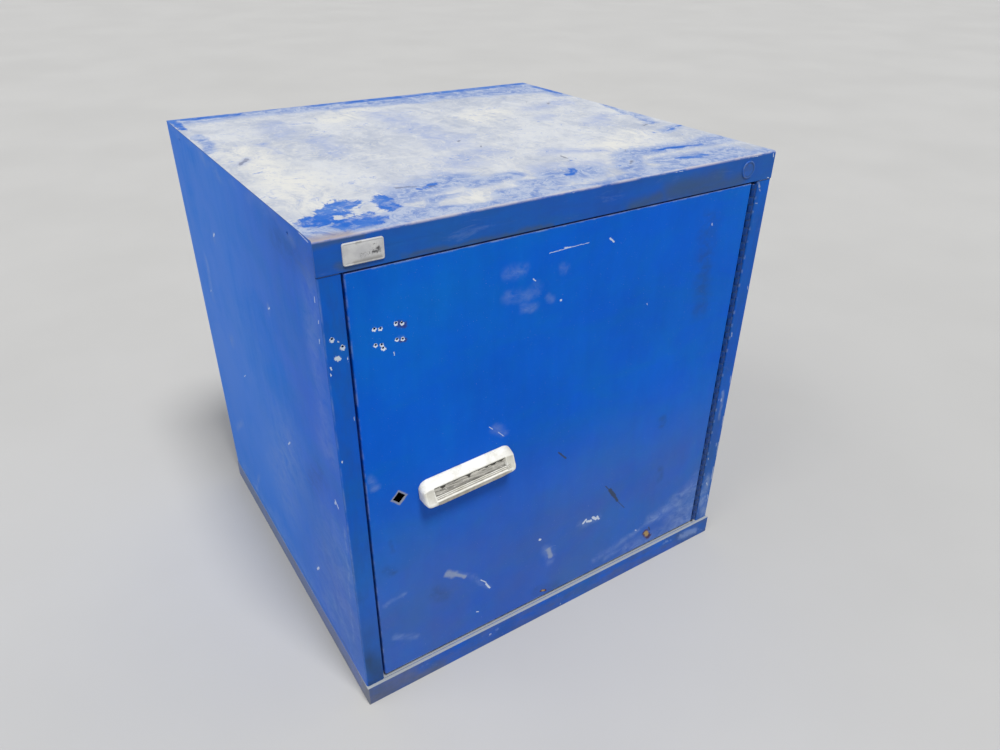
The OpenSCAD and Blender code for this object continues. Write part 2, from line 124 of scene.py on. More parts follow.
class Nodes:
    """Adds nodes to one shader tree; every helper returns an output socket."""

    def __init__(self, tree, material=None):
        self.tree = tree
        self.material = material

    def feed(self, socket, value):
        if isinstance(value, bpy.types.NodeSocket):
            self.tree.links.new(value, socket)
        elif value is not None:
            socket.default_value = value

    def add(self, kind, *values, **settings):
        node = self.tree.nodes.new(kind)
        for name, value in settings.items():
            setattr(node, name, value)
        for socket, value in zip(node.inputs, values):
            self.feed(socket, value)
        return node

    def math(self, operation, a, b=None):
        return self.add("ShaderNodeMath", a, b, operation=operation).outputs[0]

    def times(self, product, *others):
        for other in others:
            product = self.math("MULTIPLY", product, other)
        return product

    def plus(self, total, *others):
        for other in others:
            total = self.math("ADD", total, other)
        return total

    def minus(self, a, b):
        return self.math("SUBTRACT", a, b)

    def absolute(self, value):
        return self.math("ABSOLUTE", value)

    def clamp(self, value):
        return self.add("ShaderNodeClamp", value).outputs[0]

    def vector(self, operation, a, b=None):
        node = self.add("ShaderNodeVectorMath", a, b, operation=operation)
        return node.outputs[1 if operation in ("DOT_PRODUCT", "LENGTH") else 0]

    def noise(self, p, scale, detail=3.0, rough=0.55, distortion=0.0, colour=False):
        node = self.add("ShaderNodeTexNoise", p)
        node.inputs["Scale"].default_value = scale
        node.inputs["Detail"].default_value = detail
        node.inputs["Roughness"].default_value = rough
        node.inputs["Distortion"].default_value = distortion
        return node.outputs["Color" if colour else "Fac"]

    def smooth(self, value, low, high, to_low=0.0, to_high=1.0):
        node = self.add("ShaderNodeMapRange", value, low, high, to_low, to_high)
        node.interpolation_type = "SMOOTHSTEP"
        node.clamp = False
        return node.outputs[0]

    def mix(self, factor, a, b, blend="MIX"):
        node = self.add("ShaderNodeMix", data_type="RGBA", blend_type=blend)
        self.feed(node.inputs[0], factor)
        self.feed(node.inputs[6], a)
        self.feed(node.inputs[7], b)
        return node.outputs[2]

    def blend(self, factor, a, b):
        """Number a where factor is 0, b where it is 1."""
        node = self.add("ShaderNodeMix", factor)
        self.feed(node.inputs[2], a)
        self.feed(node.inputs[3], b)
        return node.outputs[0]

    def place(self):
        """Place in the row frame, in metres."""
        return self.add("ShaderNodeTexCoord").outputs["Object"]

    def axes(self, p):
        return self.add("ShaderNodeSeparateXYZ", p).outputs

    def facing_up(self):
        normal = self.add("ShaderNodeNewGeometry").outputs["Normal"]
        return self.smooth(self.axes(normal)[2], 0.35, 0.85)

    def stretched(self, p, x, y, z):
        return self.vector("MULTIPLY", p, (x, y, z))

    def streaks(self, p, stretch, *character):
        """Noise in p stretched along each axis; character is its detail, roughness and distortion."""
        return self.noise(self.stretched(p, *stretch), 1.0, *character)

    def from_front(self, p):
        """p with its depth behind the front stretched: marks on the front then miss the inside."""
        return self.vector("ADD", self.stretched(p, 1, 40, 1), (0, -39 * FRONT, 0))

    def from_left(self, p):
        """The same for marks on the left side."""
        return self.vector("ADD", self.stretched(p, 40, 1, 1), (-39 * LEFT, 0, 0))

    def warped(self, p, scale, amount):
        """p moved about by noise, up to about half of amount each way."""
        shift = self.vector("SUBTRACT", self.noise(p, scale, 3.0, colour=True), (0.5, 0.5, 0.5))
        return self.vector("ADD", p, self.vector("MULTIPLY", shift, (amount, amount, amount)))

    def marks(self, p, place, marks):
        """Field of many strokes (x0, y0, x1, y1, radius in mm): 1 on a line, 0 at its radius."""
        field = 0.0
        for x0, y0, x1, y1, radius in marks:
            start = place(x0, y0)
            along = place(x1, y1) - start
            squared = max(along.length_squared, 1e-9)
            values = (p, start, along, squared, radius * MM, field)
            field = self.add("ShaderNodeGroup", *values, node_tree=STROKE).outputs[0]
        return field

    def ragged(self, field, p, scale, low=0.35, high=0.55, amount=0.9):
        """A field's inside, with an edge torn by noise."""
        grain = self.times(self.minus(self.noise(p, scale, 4.0, 0.65), 0.5), amount)
        return self.smooth(self.plus(field, grain), low, high)


def stroke_group():
    """Shader group for one stroke: 1 on its line, 0 at its radius, or the higher field before it."""
    tree = bpy.data.node_groups.new("stroke", "ShaderNodeTree")
    inputs = (("P", "Vector"), ("Start", "Vector"), ("Along", "Vector"))
    inputs += (("Squared", "Float"), ("Radius", "Float"), ("Before", "Float"))
    for name, kind in inputs:
        tree.interface.new_socket(name, in_out="INPUT", socket_type="NodeSocket" + kind)
    tree.interface.new_socket("Field", in_out="OUTPUT", socket_type="NodeSocketFloat")
    n = Nodes(tree)
    p, start, along, squared, radius, before, _ = n.add("NodeGroupInput").outputs
    offset = n.vector("SUBTRACT", p, start)
    share = n.clamp(n.math("DIVIDE", n.vector("DOT_PRODUCT", offset, along), squared))
    nearest = n.add("ShaderNodeVectorMath", along, None, None, share, operation="SCALE").outputs[0]
    distance = n.vector("LENGTH", n.vector("SUBTRACT", offset, nearest))
    inside = n.minus(1.0, n.math("DIVIDE", distance, radius))
    n.add("NodeGroupOutput", n.math("MAXIMUM", before, inside))
    return tree


STROKE = stroke_group()


def new_material(name):
    """Empty node material, as its node helper and the place socket."""
    material = bpy.data.materials.new(name)
    material.use_nodes = True
    material.node_tree.nodes.clear()
    n = Nodes(material.node_tree, material)
    return n, n.place()


def finish_surface(n, colour, rough, height=None, depth=0.0005, metallic=0.0, specular=0.5):
    """Principled surface from the given sockets; height is in units of depth metres.

    Returns the material.
    """
    shader = n.add("ShaderNodeBsdfPrincipled")
    n.feed(shader.inputs["Base Color"], colour)
    n.feed(shader.inputs["Roughness"], rough)
    n.feed(shader.inputs["Metallic"], metallic)
    shader.inputs["Specular IOR Level"].default_value = specular
    if height is not None:
        bump = n.add("ShaderNodeBump")
        bump.inputs["Strength"].default_value = 1.0
        bump.inputs["Distance"].default_value = depth
        n.feed(bump.inputs["Height"], height)
        n.feed(shader.inputs["Normal"], bump.outputs[0])
    output = n.add("ShaderNodeOutputMaterial")
    n.tree.links.new(shader.outputs[0], output.inputs[0])
    return n.material


def as_row(amounts):
    return amounts if isinstance(amounts, tuple) else (amounts,)


class Surface:
    """Colour, roughness and height of a surface, built up layer by layer."""

    def __init__(self, n, p, colour, rough, height):
        self.n = n
        self.p = p
        self.colour = colour
        self.rough = rough
        self.height = height

    def cover(self, mask, colour, rough=None, raised=0.0):
        """Lays a colour over the surface where mask is 1."""
        self.colour = self.n.mix(mask, self.colour, colour)
        if rough is not None:
            self.rough = self.n.blend(mask, self.rough, rough)
        if raised:
            self.height = self.n.plus(self.height, self.n.times(mask, raised))

    def patch(self, field, limits, amounts, colour, rough, raised=0.0):
        """A colour where field rises through its limits; amounts is a number or a row of factors."""
        mask = self.n.smooth(field, *limits)
        self.cover(self.n.times(mask, *as_row(amounts)), colour, rough, raised)

    def rub(self, bent, place, marks, limits, amounts, colour, rough):
        """Listed soft marks."""
        self.patch(self.n.marks(bent, place, marks), limits, amounts, colour, rough)

    def scar(self, bent, place, marks, edge, amounts, colour, rough):
        """Listed marks with a torn edge; edge is what ragged() takes after p."""
        mask = self.n.ragged(self.n.marks(bent, place, marks), self.p, *edge)
        self.cover(self.n.times(mask, *as_row(amounts)), colour, rough)

    def finish(self, depth, specular=0.5, metallic=0.0):
        n = self.n
        return finish_surface(n, self.colour, self.rough, self.height, depth, metallic, specular)


# ---------------------------------------------------------------- blue paint


def blue_paint(n, p):
    """Old semi-gloss enamel: faded clouds, wiped streaks, orange peel and pinpoint dirt."""
    cloud = n.noise(p, 2.7, 4.0, 0.6)
    patch = n.noise(p, 13.0, 5.0, 0.6, 0.4)
    streak = n.streaks(p, (60, 60, 5), 3.0, 0.6)
    grain = n.noise(p, 420.0, 2.0)
    fade = n.plus(n.times(cloud, 0.55), n.times(patch, 0.30))
    fade = n.plus(fade, n.times(streak, 0.15))
    faded = n.smooth(fade, 0.44, 0.68)
    colour = n.mix(faded, PAINT_DEEP, PAINT_FADED)
    green = n.smooth(n.streaks(p, (4, 4, 9), 6.0, 0.68, 0.8), 0.42, 0.66)
    colour = n.mix(n.times(green, 0.55), colour, PAINT_GREEN)
    brushed = n.noise(n.vector("ADD", n.stretched(p, 30, 30, 7), (3.0, 0.0, 1.0)), 1.0, 5.0, 0.7, 0.3)
    shade = n.plus(n.times(n.noise(p, 6.0, 6.0, 0.7), 0.36), 0.72)
    shade = n.plus(shade, n.times(brushed, 0.20))
    grey = n.add("ShaderNodeCombineColor", shade, shade, shade).outputs[0]
    colour = n.mix(1.0, colour, grey, "MULTIPLY")
    rough = n.plus(n.times(faded, 0.14), n.times(grain, 0.10))
    rough = n.plus(rough, 0.33)
    peel = n.noise(p, 260.0, 2.0, 0.5)
    wave = n.noise(p, 7.0, 1.0, 0.4)
    height = n.plus(n.times(peel, 0.035), n.times(wave, 1.2))
    return Surface(n, p, colour, rough, height)


def add_floor_dust_and_shade(surface, amount=0.27):
    """Dust haze that grows towards the floor, thicker in drifts; its dark colour also paints shade that
    deepens towards the floor.
    """
    n, p = surface.n, surface.p
    fall = n.smooth(n.axes(p)[2], 0.46, 0.16)
    drift = n.plus(n.times(n.noise(p, 9.0, 6.0, 0.65), 1.5), 0.25)
    dust = n.clamp(n.times(fall, drift, amount))
    surface.cover(dust, DUST_AND_SHADE, 0.62)


def add_ledge_dust(surface, amount=0.9):
    """Grey dust lying on surfaces that face up."""
    n, p = surface.n, surface.p
    lying = n.times(n.facing_up(), n.noise(p, 70.0, 6.0, 0.7))
    surface.cover(n.smooth(lying, 0.05, 0.32, 0.0, amount), LEDGE_DUST, 0.9, 0.25)


def add_grit(surface):
    """Tiny pale nicks and dark specks all over."""
    n, p = surface.n, surface.p
    surface.patch(n.noise(p, 190.0, 4.0, 0.75), (0.735, 0.78), 0.55, CHIP, 0.5)
    surface.patch(n.noise(p, 130.0, 5.0, 0.8), (0.28, 0.235), 0.6, PAINT_DARK, 0.6)


DOOR_CHIPS = [
    (326, 80.5, 360, 79.4, 0.9), (360, 79.4, 394, 79, 0.8), (352, 78, 362, 79.4, 1.6),
    (432, 80, 440, 87, 2.4), (349, 156, 350, 156.5, 2.4), (332, 600, 333, 601, 4.2),
    (427, 609, 433, 604, 4.0), (436, 609, 445, 612, 4.6), (449, 606, 457, 613, 5.0),
    (459, 608, 463, 616, 3.4), (224, 644, 231, 658, 2.8), (214, 630, 224, 641, 1.5),
    (246, 345, 256, 356, 0.9), (230, 330, 236, 336, 1.0), (300, 112, 304, 116, 1.4),
    (88, 163, 88.4, 168, 1.0), (640, 96, 641, 99, 1.4), (520, 204, 521, 206, 1.2),
    (205, 700, 209, 702, 1.6), (560, 690, 563, 692, 1.5),
]
DOOR_SMUDGES = [
    (262, 92, 282, 97, 16), (262, 130, 282, 134, 17), (285, 134, 308, 129, 15), (286, 150, 300, 154, 14),
    (328, 148, 334, 152, 10), (350, 108, 356, 110, 11), (240, 335, 258, 352, 12), (43, 345, 48, 362, 10),
    (168, 592, 203, 619, 9), (203, 619, 232, 659, 7), (345, 630, 356, 640, 17), (356, 640, 358, 662, 15),
    (42, 590, 78, 584, 8), (56, 668, 92, 690, 10), (463, 716, 560, 698, 14), (600, 684, 668, 672, 16),
    (490, 726, 540, 722, 12), (560, 698, 690, 652, 10), (420, 610, 462, 612, 13), (96, 146, 103, 149, 5),
]
DOOR_SMEARS = [(153, 582, 163, 590, 11), (163, 590, 184, 606, 5.5), (352, 634, 358, 652, 8)]
DOOR_HAZE = [
    (712, 640, 712, 745, 50), (680, 700, 700, 745, 64), (560, 745, 720, 745, 44),
    (590, 680, 700, 640, 24),
]
DOOR_GRIME = [
    (632, 90, 644, 240, 34), (640, 170, 642, 225, 18), (606, 560, 609, 590, 12), (52, 520, 60, 528, 13),
    (132, 612, 146, 626, 20), (62, 470, 63, 490, 6), (330, 722, 372, 732, 20), (590, 445, 592, 460, 13),
    (60, 745, 330, 745, 7),
]
DOOR_SCORES = [
    (362, 428, 378, 446, 2.6), (472, 545, 492, 571, 1.6), (483, 558, 496, 578, 6.4),
    (496, 578, 504, 592, 4.6), (502, 590, 524, 618, 1.2), (596, 700, 600, 709, 2.4),
]
DOOR_RUST = [(589, 710, 590, 714, 13.0), (596, 720, 598, 724, 12.0), (340, 727, 350, 731, 5.0)]
RUST_HEARTS = [(590, 711, 594, 718, 8.0), (343, 728, 347, 730, 3.0)]
HASP_HALOS = [
    (64.2, 124.6, 64.6, 125.0, 3.9), (93.2, 124.4, 93.6, 124.8, 3.9), (64.2, 147.0, 64.6, 147.2, 3.8),
    (93.2, 147.0, 93.6, 147.4, 3.5), (72.2, 126.2, 72.6, 126.4, 3.8), (101.5, 126.2, 102.0, 126.6, 3.8),
    (72.2, 148.6, 72.6, 149.0, 3.8), (101.2, 148.6, 101.6, 148.8, 3.7), (73.6, 153.8, 75.0, 154.6, 4.0),
]
HASP_DIRT = [(98, 126, 104, 129, 8), (99, 150, 104, 150, 5)]


def lock_halo(n, p):
    """Paint rubbed off around the square hole that stands on its corner."""
    x, _, z = n.axes(n.warped(p, 160.0, 0.003))
    lock = on_front(LOCK_X, LOCK_DOWN)
    dx = n.absolute(n.minus(x, lock.x))
    dz = n.absolute(n.minus(z, lock.z))
    return n.smooth(n.plus(dx, dz), 0.0152, 0.0122)


def door_edge_wear_and_highlight(n, p):
    """Paint worn thin along the door pan's edges, a pale line that is also a painted highlight where the
    folds catch the light.
    """
    x, _, z = n.axes(p)
    from_left = n.minus(x, DOOR_LOW.x)
    from_right = n.minus(DOOR_HIGH.x, x)
    from_top = n.minus(DOOR_HIGH.z, z)
    from_bottom = n.minus(z, DOOR_LOW.z)
    nearest = from_left
    for distance in (from_right, from_top, from_bottom):
        nearest = n.math("MINIMUM", nearest, distance)
    edge = n.smooth(nearest, 0.0022, 0.0002)
    worn = n.smooth(n.noise(p, 55.0, 5.0, 0.7), 0.42, 0.62)
    return n.times(edge, worn)


def door_material():
    n, p = new_material("door_paint")
    surface = blue_paint(n, p)
    add_floor_dust_and_shade(surface)
    face = n.from_front(p)
    soft = n.warped(face, 28.0, 0.020)
    wiped = n.smooth(n.streaks(p, (40, 40, 60), 6.0, 0.72, 0.6), 0.26, 0.74)
    surface.rub(n.warped(face, 9.0, 0.07), on_front, DOOR_HAZE, (0.0, 1.1), (wiped, 0.62), HAZE, 0.52)
    surface.rub(soft, on_front, DOOR_SMUDGES, (0.0, 1.1), (wiped, 0.48), HAZE, 0.58)
    bent = n.warped(face, 60.0, 0.006)
    surface.scar(bent, on_front, DOOR_SMEARS, (120.0, 0.10, 0.75, 0.6), 0.62, SMEAR_PALE, 0.62)
    surface.rub(soft, on_front, DOOR_GRIME, (0.0, 1.0), (wiped, 0.40), GRIME, 0.55)
    surface.scar(face, on_front, DOOR_SCORES, (300.0, 0.30, 0.55), 0.75, SCORE_DARK, 0.6)
    chipped = n.warped(face, 260.0, 0.0022)
    chip = n.ragged(n.marks(chipped, on_front, DOOR_CHIPS), p, 420.0)
    surface.scar(chipped, on_front, HASP_DIRT, (300.0, 0.15, 0.70), 0.6, HASP_SOIL, 0.6)
    ringed = n.marks(n.warped(face, 420.0, 0.0030), on_front, HASP_HALOS)
    halo = n.ragged(ringed, p, 700.0, 0.22, 0.40, 1.3)
    surface.cover(n.times(chip, 0.80), CHIP, 0.5)
    surface.cover(halo, CHIP_BRIGHT, 0.45)
    surface.cover(n.times(lock_halo(n, p), 0.8), BARE_METAL, 0.4)
    bent = n.warped(face, 150.0, 0.006)
    surface.scar(bent, on_front, DOOR_RUST, (240.0, 0.25, 0.65), 0.85, RUST_DARK, 0.85)
    surface.scar(bent, on_front, RUST_HEARTS, (240.0, 0.20, 0.60), 0.90, RUST_BRIGHT, 0.85)
    # Pale line along the door's edges: worn paint and painted highlight
    surface.cover(n.times(door_edge_wear_and_highlight(n, p), 0.55), HAZE, 0.5)
    add_grit(surface)
    add_ledge_dust(surface, 0.35)
    return surface.finish(0.0010, 0.07)


LEFT_CHIPS = [
    (28, 397, 37, 390, 3.6), (36, 392, 40, 398, 3.0), (226, 406, 238, 417, 2.6),
    (172, 632, 184, 646, 3.6), (488, 142, 497, 149, 3.4), (455, 398, 470, 408, 1.4),
    (218, 168, 224, 172, 2.6), (610, 290, 618, 296, 1.6), (1.5, 112, 1.5, 122, 1.5),
    (1.5, 140, 1.5, 152, 1.3), (2, 505, 2, 512, 1.4), (12, 4, 40, 2, 1.4), (14, 72, 15, 78, 2.0),
    (10, 100, 11, 104, 1.6), (16, 128, 17, 133, 1.8),
]
LEFT_SMUDGES = [
    (492, 145, 500, 152, 16), (505, 345, 520, 356, 22), (14, 425, 22, 520, 7), (22, 520, 34, 600, 7),
    (34, 600, 38, 680, 7), (178, 637, 182, 645, 14), (220, 170, 224, 176, 13), (600, 230, 606, 300, 22),
    (505, 660, 560, 730, 12), (560, 560, 640, 620, 14),
]
LEFT_HAZE = [
    (40, 500, 140, 740, 150), (240, 420, 330, 560, 130), (20, 60, 40, 300, 60), (60, 18, 690, 14, 16),
    (0, 745, 690, 745, 74),
]
LEFT_GRIME = [(10, 30, 130, 40, 44), (90, 380, 140, 430, 40), (60, 740, 690, 744, 9)]
STILE_GRIME = [(6, 690, 26, 742, 34), (4, 742, 30, 744, 16)]
STILE_CHIPS = [
    (9.8, 123.4, 10.2, 124.8, 4.9), (21.8, 137.0, 22.2, 138.6, 5.0), (13, 150, 15.5, 151.4, 5.2),
    (29, 153, 29.6, 160, 3.6), (4, 160, 5, 163, 1.8), (2.5, 168, 3.4, 171, 2.2),
    (17, 128, 17.6, 129, 1.5), (28, 100, 28.6, 104, 1.3), (27, 240, 27.5, 246, 1.2),
    (4, 300, 4.6, 303, 1.2),
]


def side_surface(n, p):
    surface = blue_paint(n, p)
    add_floor_dust_and_shade(surface, 0.16)
    return surface


def add_stile_soil(surface):
    """Soil on the front stiles, and dirt in their joint with the fascia above them."""
    n, p = surface.n, surface.p
    _, y, z = n.axes(p)
    front = n.smooth(y, FRONT + 0.0040, FRONT + 0.0020)
    soil = n.smooth(n.streaks(p, (30, 30, 8), 5.0, 0.7), 0.30, 0.70, 0.10, 0.34)
    surface.cover(n.times(front, soil), GRIME, 0.5)
    near = n.smooth(n.absolute(n.minus(z, FASCIA_LOW)), 0.0022, 0.0012)
    surface.cover(n.times(near, front, 0.9), PAINT_DARK, 0.6)


def body_corner_wear(n, p):
    """Rubbed paint along the upright corners of the body and the inner edges of the stiles."""
    x, y, _ = n.axes(p)
    corner_x = n.minus(abs(LEFT), n.absolute(x))
    corner = n.math("MAXIMUM", corner_x, n.minus(y, FRONT))
    edge = n.smooth(corner, 0.0030, 0.0006)
    worn = n.smooth(n.streaks(p, (40, 40, 22), 5.0, 0.7), 0.40, 0.66)
    return n.times(edge, worn)


def left_side_material():
    n, p = new_material("left_side_paint")
    surface = side_surface(n, p)
    # Painted reflection: the side turns a lighter, greener blue towards the back
    sheen_towards_back = n.smooth(n.axes(p)[1], -0.36, 0.10, 0.0, 0.75)
    surface.cover(sheen_towards_back, SIDE_SHEEN_BLUE)
    face = n.from_left(p)
    soft = n.warped(face, 24.0, 0.024)
    wiped = n.smooth(n.streaks(p, (25, 30, 45), 6.0, 0.72, 0.8), 0.24, 0.76)
    surface.rub(n.warped(face, 7.0, 0.09), on_left, LEFT_HAZE, (0.0, 1.1), (wiped, 0.36), HAZE, 0.5)
    surface.rub(soft, on_left, LEFT_SMUDGES, (0.05, 0.95), (wiped, 0.45), HAZE, 0.6)
    surface.rub(soft, on_left, LEFT_GRIME, (0.0, 1.0), (wiped, 0.30), GRIME, 0.6)
    chipped = n.warped(face, 260.0, 0.0026)
    surface.scar(chipped, on_left, LEFT_CHIPS, (380.0,), 0.7, CHIP, 0.5)
    stile_face = n.from_front(p)
    chipped = n.warped(stile_face, 420.0, 0.0030)
    stile = n.ragged(n.marks(chipped, on_front, STILE_CHIPS), p, 600.0, 0.30, 0.50, 1.3)
    surface.cover(stile, STILE_CHIP, 0.5)
    surface.cover(n.times(body_corner_wear(n, p), 0.45), HAZE, 0.5)
    surface.rub(n.warped(stile_face, 40.0, 0.02), on_front, STILE_GRIME, (0.0, 1.0), 0.55, GRIME, 0.6)
    add_stile_soil(surface)
    add_grit(surface)
    add_ledge_dust(surface, 0.3)
    return surface.finish(0.0010, 0.06)


HINGE_CHIPS = [
    (734, 48, 738, 54, 3.0), (739, 58, 741, 61, 1.6), (733, 80, 740, 81, 1.6), (737, 315, 738, 322, 2.4),
    (742, 455, 743, 460, 2.6), (734, 452, 735, 456, 1.8), (736, 590, 737, 594, 2.0),
    (745, 655, 748, 662, 2.6), (752, 560, 753, 568, 1.6), (756, 230, 757, 236, 1.5),
    (757, 410, 758, 424, 1.6), (758, 500, 759, 520, 2.0), (758, 560, 759, 590, 2.0),
    (757, 620, 758, 650, 2.2), (756, 690, 758, 700, 2.0),
]
RIGHT_SCUFFS = [
    (60, 180, 240, 150, 20), (120, 300, 300, 290, 24), (420, 90, 470, 240, 34), (520, 420, 600, 560, 40),
    (40, 560, 70, 720, 50), (200, 620, 420, 600, 26), (560, 660, 690, 735, 60), (0, 745, 690, 745, 80),
    (300, 16, 690, 12, 20), (330, 430, 340, 520, 50), (90, 400, 100, 440, 40),
]
RIGHT_NICKS = [
    (148, 214, 151, 219, 2.6), (268, 236, 300, 231, 1.1), (556, 118, 559, 121, 3.4),
    (24, 300, 26, 309, 2.0), (398, 372, 404, 375, 2.8), (640, 388, 642, 398, 2.2),
    (470, 655, 474, 657, 3.6), (132, 668, 140, 690, 1.5), (690, 610, 692, 626, 2.0),
]
BACK_SCUFFS = [
    (90, 120, 300, 180, 30), (420, 300, 640, 280, 26), (200, 480, 260, 620, 44),
    (520, 560, 660, 700, 50), (80, 640, 160, 660, 40), (380, 120, 400, 200, 34),
    (600, 110, 640, 190, 36), (40, 740, 720, 740, 70),
]
BACK_NICKS = [
    (340, 214, 344, 219, 2.8), (520, 196, 566, 190, 1.1), (96, 402, 99, 409, 3.0),
    (610, 470, 620, 478, 2.0), (404, 566, 408, 569, 3.4), (700, 330, 702, 346, 1.6),
]
RIGHT_SMUDGES = [(746, 640, 752, 738, 16), (740, 680, 760, 742, 26), (744, 440, 746, 500, 6)]


def hinge_glint_ticks(n, p):
    """Painted highlights: bright ticks on the stile beside the hinge, one every inch, standing for
    glints at the knuckle splits.
    """
    x, _, z = n.axes(p)
    step = n.math("PINGPONG", n.plus(z, -0.0052), KNUCKLE)
    tick = n.smooth(step, 0.0050, 0.0022)
    stile_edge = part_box("hinge_leaf_frame")[1].x
    near = n.smooth(n.absolute(n.minus(x, stile_edge + 0.0015)), 0.0030, 0.0008)
    broken = n.smooth(n.noise(p, 60.0, 4.0, 0.7), 0.42, 0.58)
    return n.times(tick, near, broken)


def add_side_marks(surface, p, stretch, shift, place, scuffs, nicks):
    """Listed rubs and nicks on one outer face, kept off the sheet's inside by the stretch."""
    n = surface.n
    face = n.vector("ADD", n.stretched(p, *stretch), shift)
    wiped = n.smooth(n.streaks(p, (26, 26, 60), 7.0, 0.78, 0.7), 0.42, 0.70)
    bent = n.warped(n.warped(face, 6.0, 0.10), 24.0, 0.040)
    surface.rub(bent, place, scuffs, (0.0, 1.2), (wiped, 0.70), HAZE, 0.58)
    surface.scar(n.warped(face, 120.0, 0.0070), place, nicks, (260.0, 0.40, 0.66, 1.5), 0.50, CHIP, 0.5)


def right_side_material():
    n, p = new_material("right_side_paint")
    surface = side_surface(n, p)
    face = n.from_front(p)
    soft = n.warped(face, 24.0, 0.016)
    wiped = n.smooth(n.streaks(p, (50, 30, 40), 5.0, 0.7, 0.6), 0.25, 0.70)
    surface.rub(soft, on_front, RIGHT_SMUDGES, (0.0, 0.9), (wiped, 0.85), HAZE, 0.6)
    chipped = n.warped(face, 260.0, 0.0026)
    surface.scar(chipped, on_front, HINGE_CHIPS, (420.0,), 0.50, CHIP, 0.5)
    # Painted highlight: bright ticks along the hinge edge
    surface.cover(n.times(hinge_glint_ticks(n, p), 0.50), HAZE, 0.45)
    surface.patch(n.streaks(p, (30, 9, 26), 6.0, 0.72, 0.8), (0.60, 0.74), 0.15, HAZE, 0.6)
    surface.cover(n.times(body_corner_wear(n, p), 0.30), HAZE, 0.5)
    add_side_marks(surface, p, (40, 1, 1), (39 * LEFT, 0, 0), on_right, RIGHT_SCUFFS, RIGHT_NICKS)
    add_stile_soil(surface)
    add_grit(surface)
    add_ledge_dust(surface)
    return surface.finish(0.0010, 0.07)


def body_material():
    """Back, rails and stiffeners: the same enamel with general rubbing."""
    n, p = new_material("body_paint")
    surface = side_surface(n, p)
    surface.patch(n.streaks(p, (16, 30, 26), 6.0, 0.72, 0.8), (0.58, 0.74), 0.45, HAZE, 0.6)
    surface.patch(n.streaks(p, (7, 40, 160), 4.0, 0.7, 0.5), (0.66, 0.72), 0.35, HAZE, 0.6)
    surface.patch(n.streaks(p, (9, 9, 2), 6.0, 0.7), (0.54, 0.70), 0.30, GRIME, 0.6)
    shift = (0, -39 * BACK_FACE, 0)
    add_side_marks(surface, p, (1, 40, 1), shift, on_back, BACK_SCUFFS, BACK_NICKS)
    add_grit(surface)
    add_ledge_dust(surface)
    return surface.finish(0.0010, 0.13)


def hinge_material():
    """Painted hinge, darkened all over with painted shade, and with dirt and painted shade deeper in the
    gap behind the front; paint cracked off at the knuckles, oily dirt between the knuckles.
    """
    n, p = new_material("hinge_paint_and_shade")
    surface = blue_paint(n, p)
    _, y, z = n.axes(p)
    # Dirt and painted shade: darker the further a point lies behind the front
    deep = n.smooth(y, FRONT + 0.0030, FRONT + 0.0075)
    surface.cover(n.times(deep, 0.8), GRIME, 0.5)
    # Painted shade: the whole hinge darkened, as it sits in the shadowed gap between door and stile
    surface.cover(0.84, PAINT_DARK, 0.5)
    surface.patch(n.streaks(p, (90, 90, 45), 5.0, 0.7), (0.58, 0.70), 0.25, HAZE, 0.45)
    end = n.smooth(n.math("PINGPONG", n.plus(z, -0.0075), KNUCKLE / 2), 0.0012, 0.0004)
    surface.cover(n.times(end, 0.5), GRIME, 0.6)
    add_floor_dust_and_shade(surface, 0.10)
    add_grit(surface)
    return surface.finish(0.0004, 0.15)


# ---------------------------------------------------------------- top sheet and fascia

# Where the blue paint shows through the dried residue: x0, y0, x1, y1, radius in mm
TOP_BARE = [
    (0, 703, 765, 703, 13), (330, 692, 765, 690, 15), (30, 694, 120, 690, 14), (26, 62, 62, 78, 30),
    (76, 100, 84, 104, 26), (60, 34, 88, 44, 30), (128, 64, 132, 104, 16), (196, 110, 224, 124, 9),
    (404, 62, 420, 74, 13), (600, 104, 690, 98, 8), (600, 44, 650, 42, 11), (8, 620, 8, 705, 12),
    (756, 560, 758, 640, 14), (700, 184, 760, 206, 6),
]
TOP_VEIL = [
    (0, 690, 765, 676, 54), (300, 664, 600, 644, 50), (600, 640, 765, 610, 56), (750, 540, 760, 640, 36),
    (0, 30, 200, 20, 50), (200, 12, 765, 10, 22), (150, 90, 260, 130, 44), (190, 60, 320, 30, 34),
    (380, 70, 440, 60, 44), (500, 40, 540, 100, 40), (560, 108, 765, 98, 34), (570, 44, 700, 40, 46),
    (704, 186, 765, 212, 22), (730, 250, 765, 320, 20), (270, 96, 330, 104, 30), (6, 440, 20, 560, 16),
    (745, 330, 765, 420, 14), (330, 60, 360, 40, 30),
]
TOP_KEPT = [(56, 62, 58, 66, 9), (200, 40, 244, 50, 26)]
TOP_THIN = [
    (130, 500, 150, 585, 46), (168, 340, 176, 440, 40), (96, 390, 94, 460, 16), (350, 300, 352, 560, 60),
    (575, 376, 600, 392, 34), (330, 300, 380, 330, 44), (300, 200, 360, 230, 60),
    (455, 180, 520, 150, 34), (620, 460, 700, 480, 44), (380, 100, 470, 90, 40),
    (160, 130, 260, 160, 40), (30, 350, 40, 370, 16), (640, 300, 700, 340, 40),
]
TOP_DARK = [
    (380, 260, 384, 268, 5), (660, 478, 680, 492, 9), (634, 516, 640, 524, 6), (716, 418, 722, 430, 6),
    (440, 112, 462, 150, 7), (500, 40, 520, 70, 9), (366, 306, 372, 314, 4), (700, 238, 712, 244, 8),
    (160, 132, 222, 116, 7), (556, 120, 566, 130, 6), (735, 230, 742, 236, 6), (28, 346, 42, 372, 8),
]
TOP_CREAM = [
    (50, 130, 60, 420, 70), (540, 150, 640, 200, 60), (250, 560, 330, 600, 60), (220, 40, 250, 56, 30),
    (480, 440, 540, 470, 70),
]
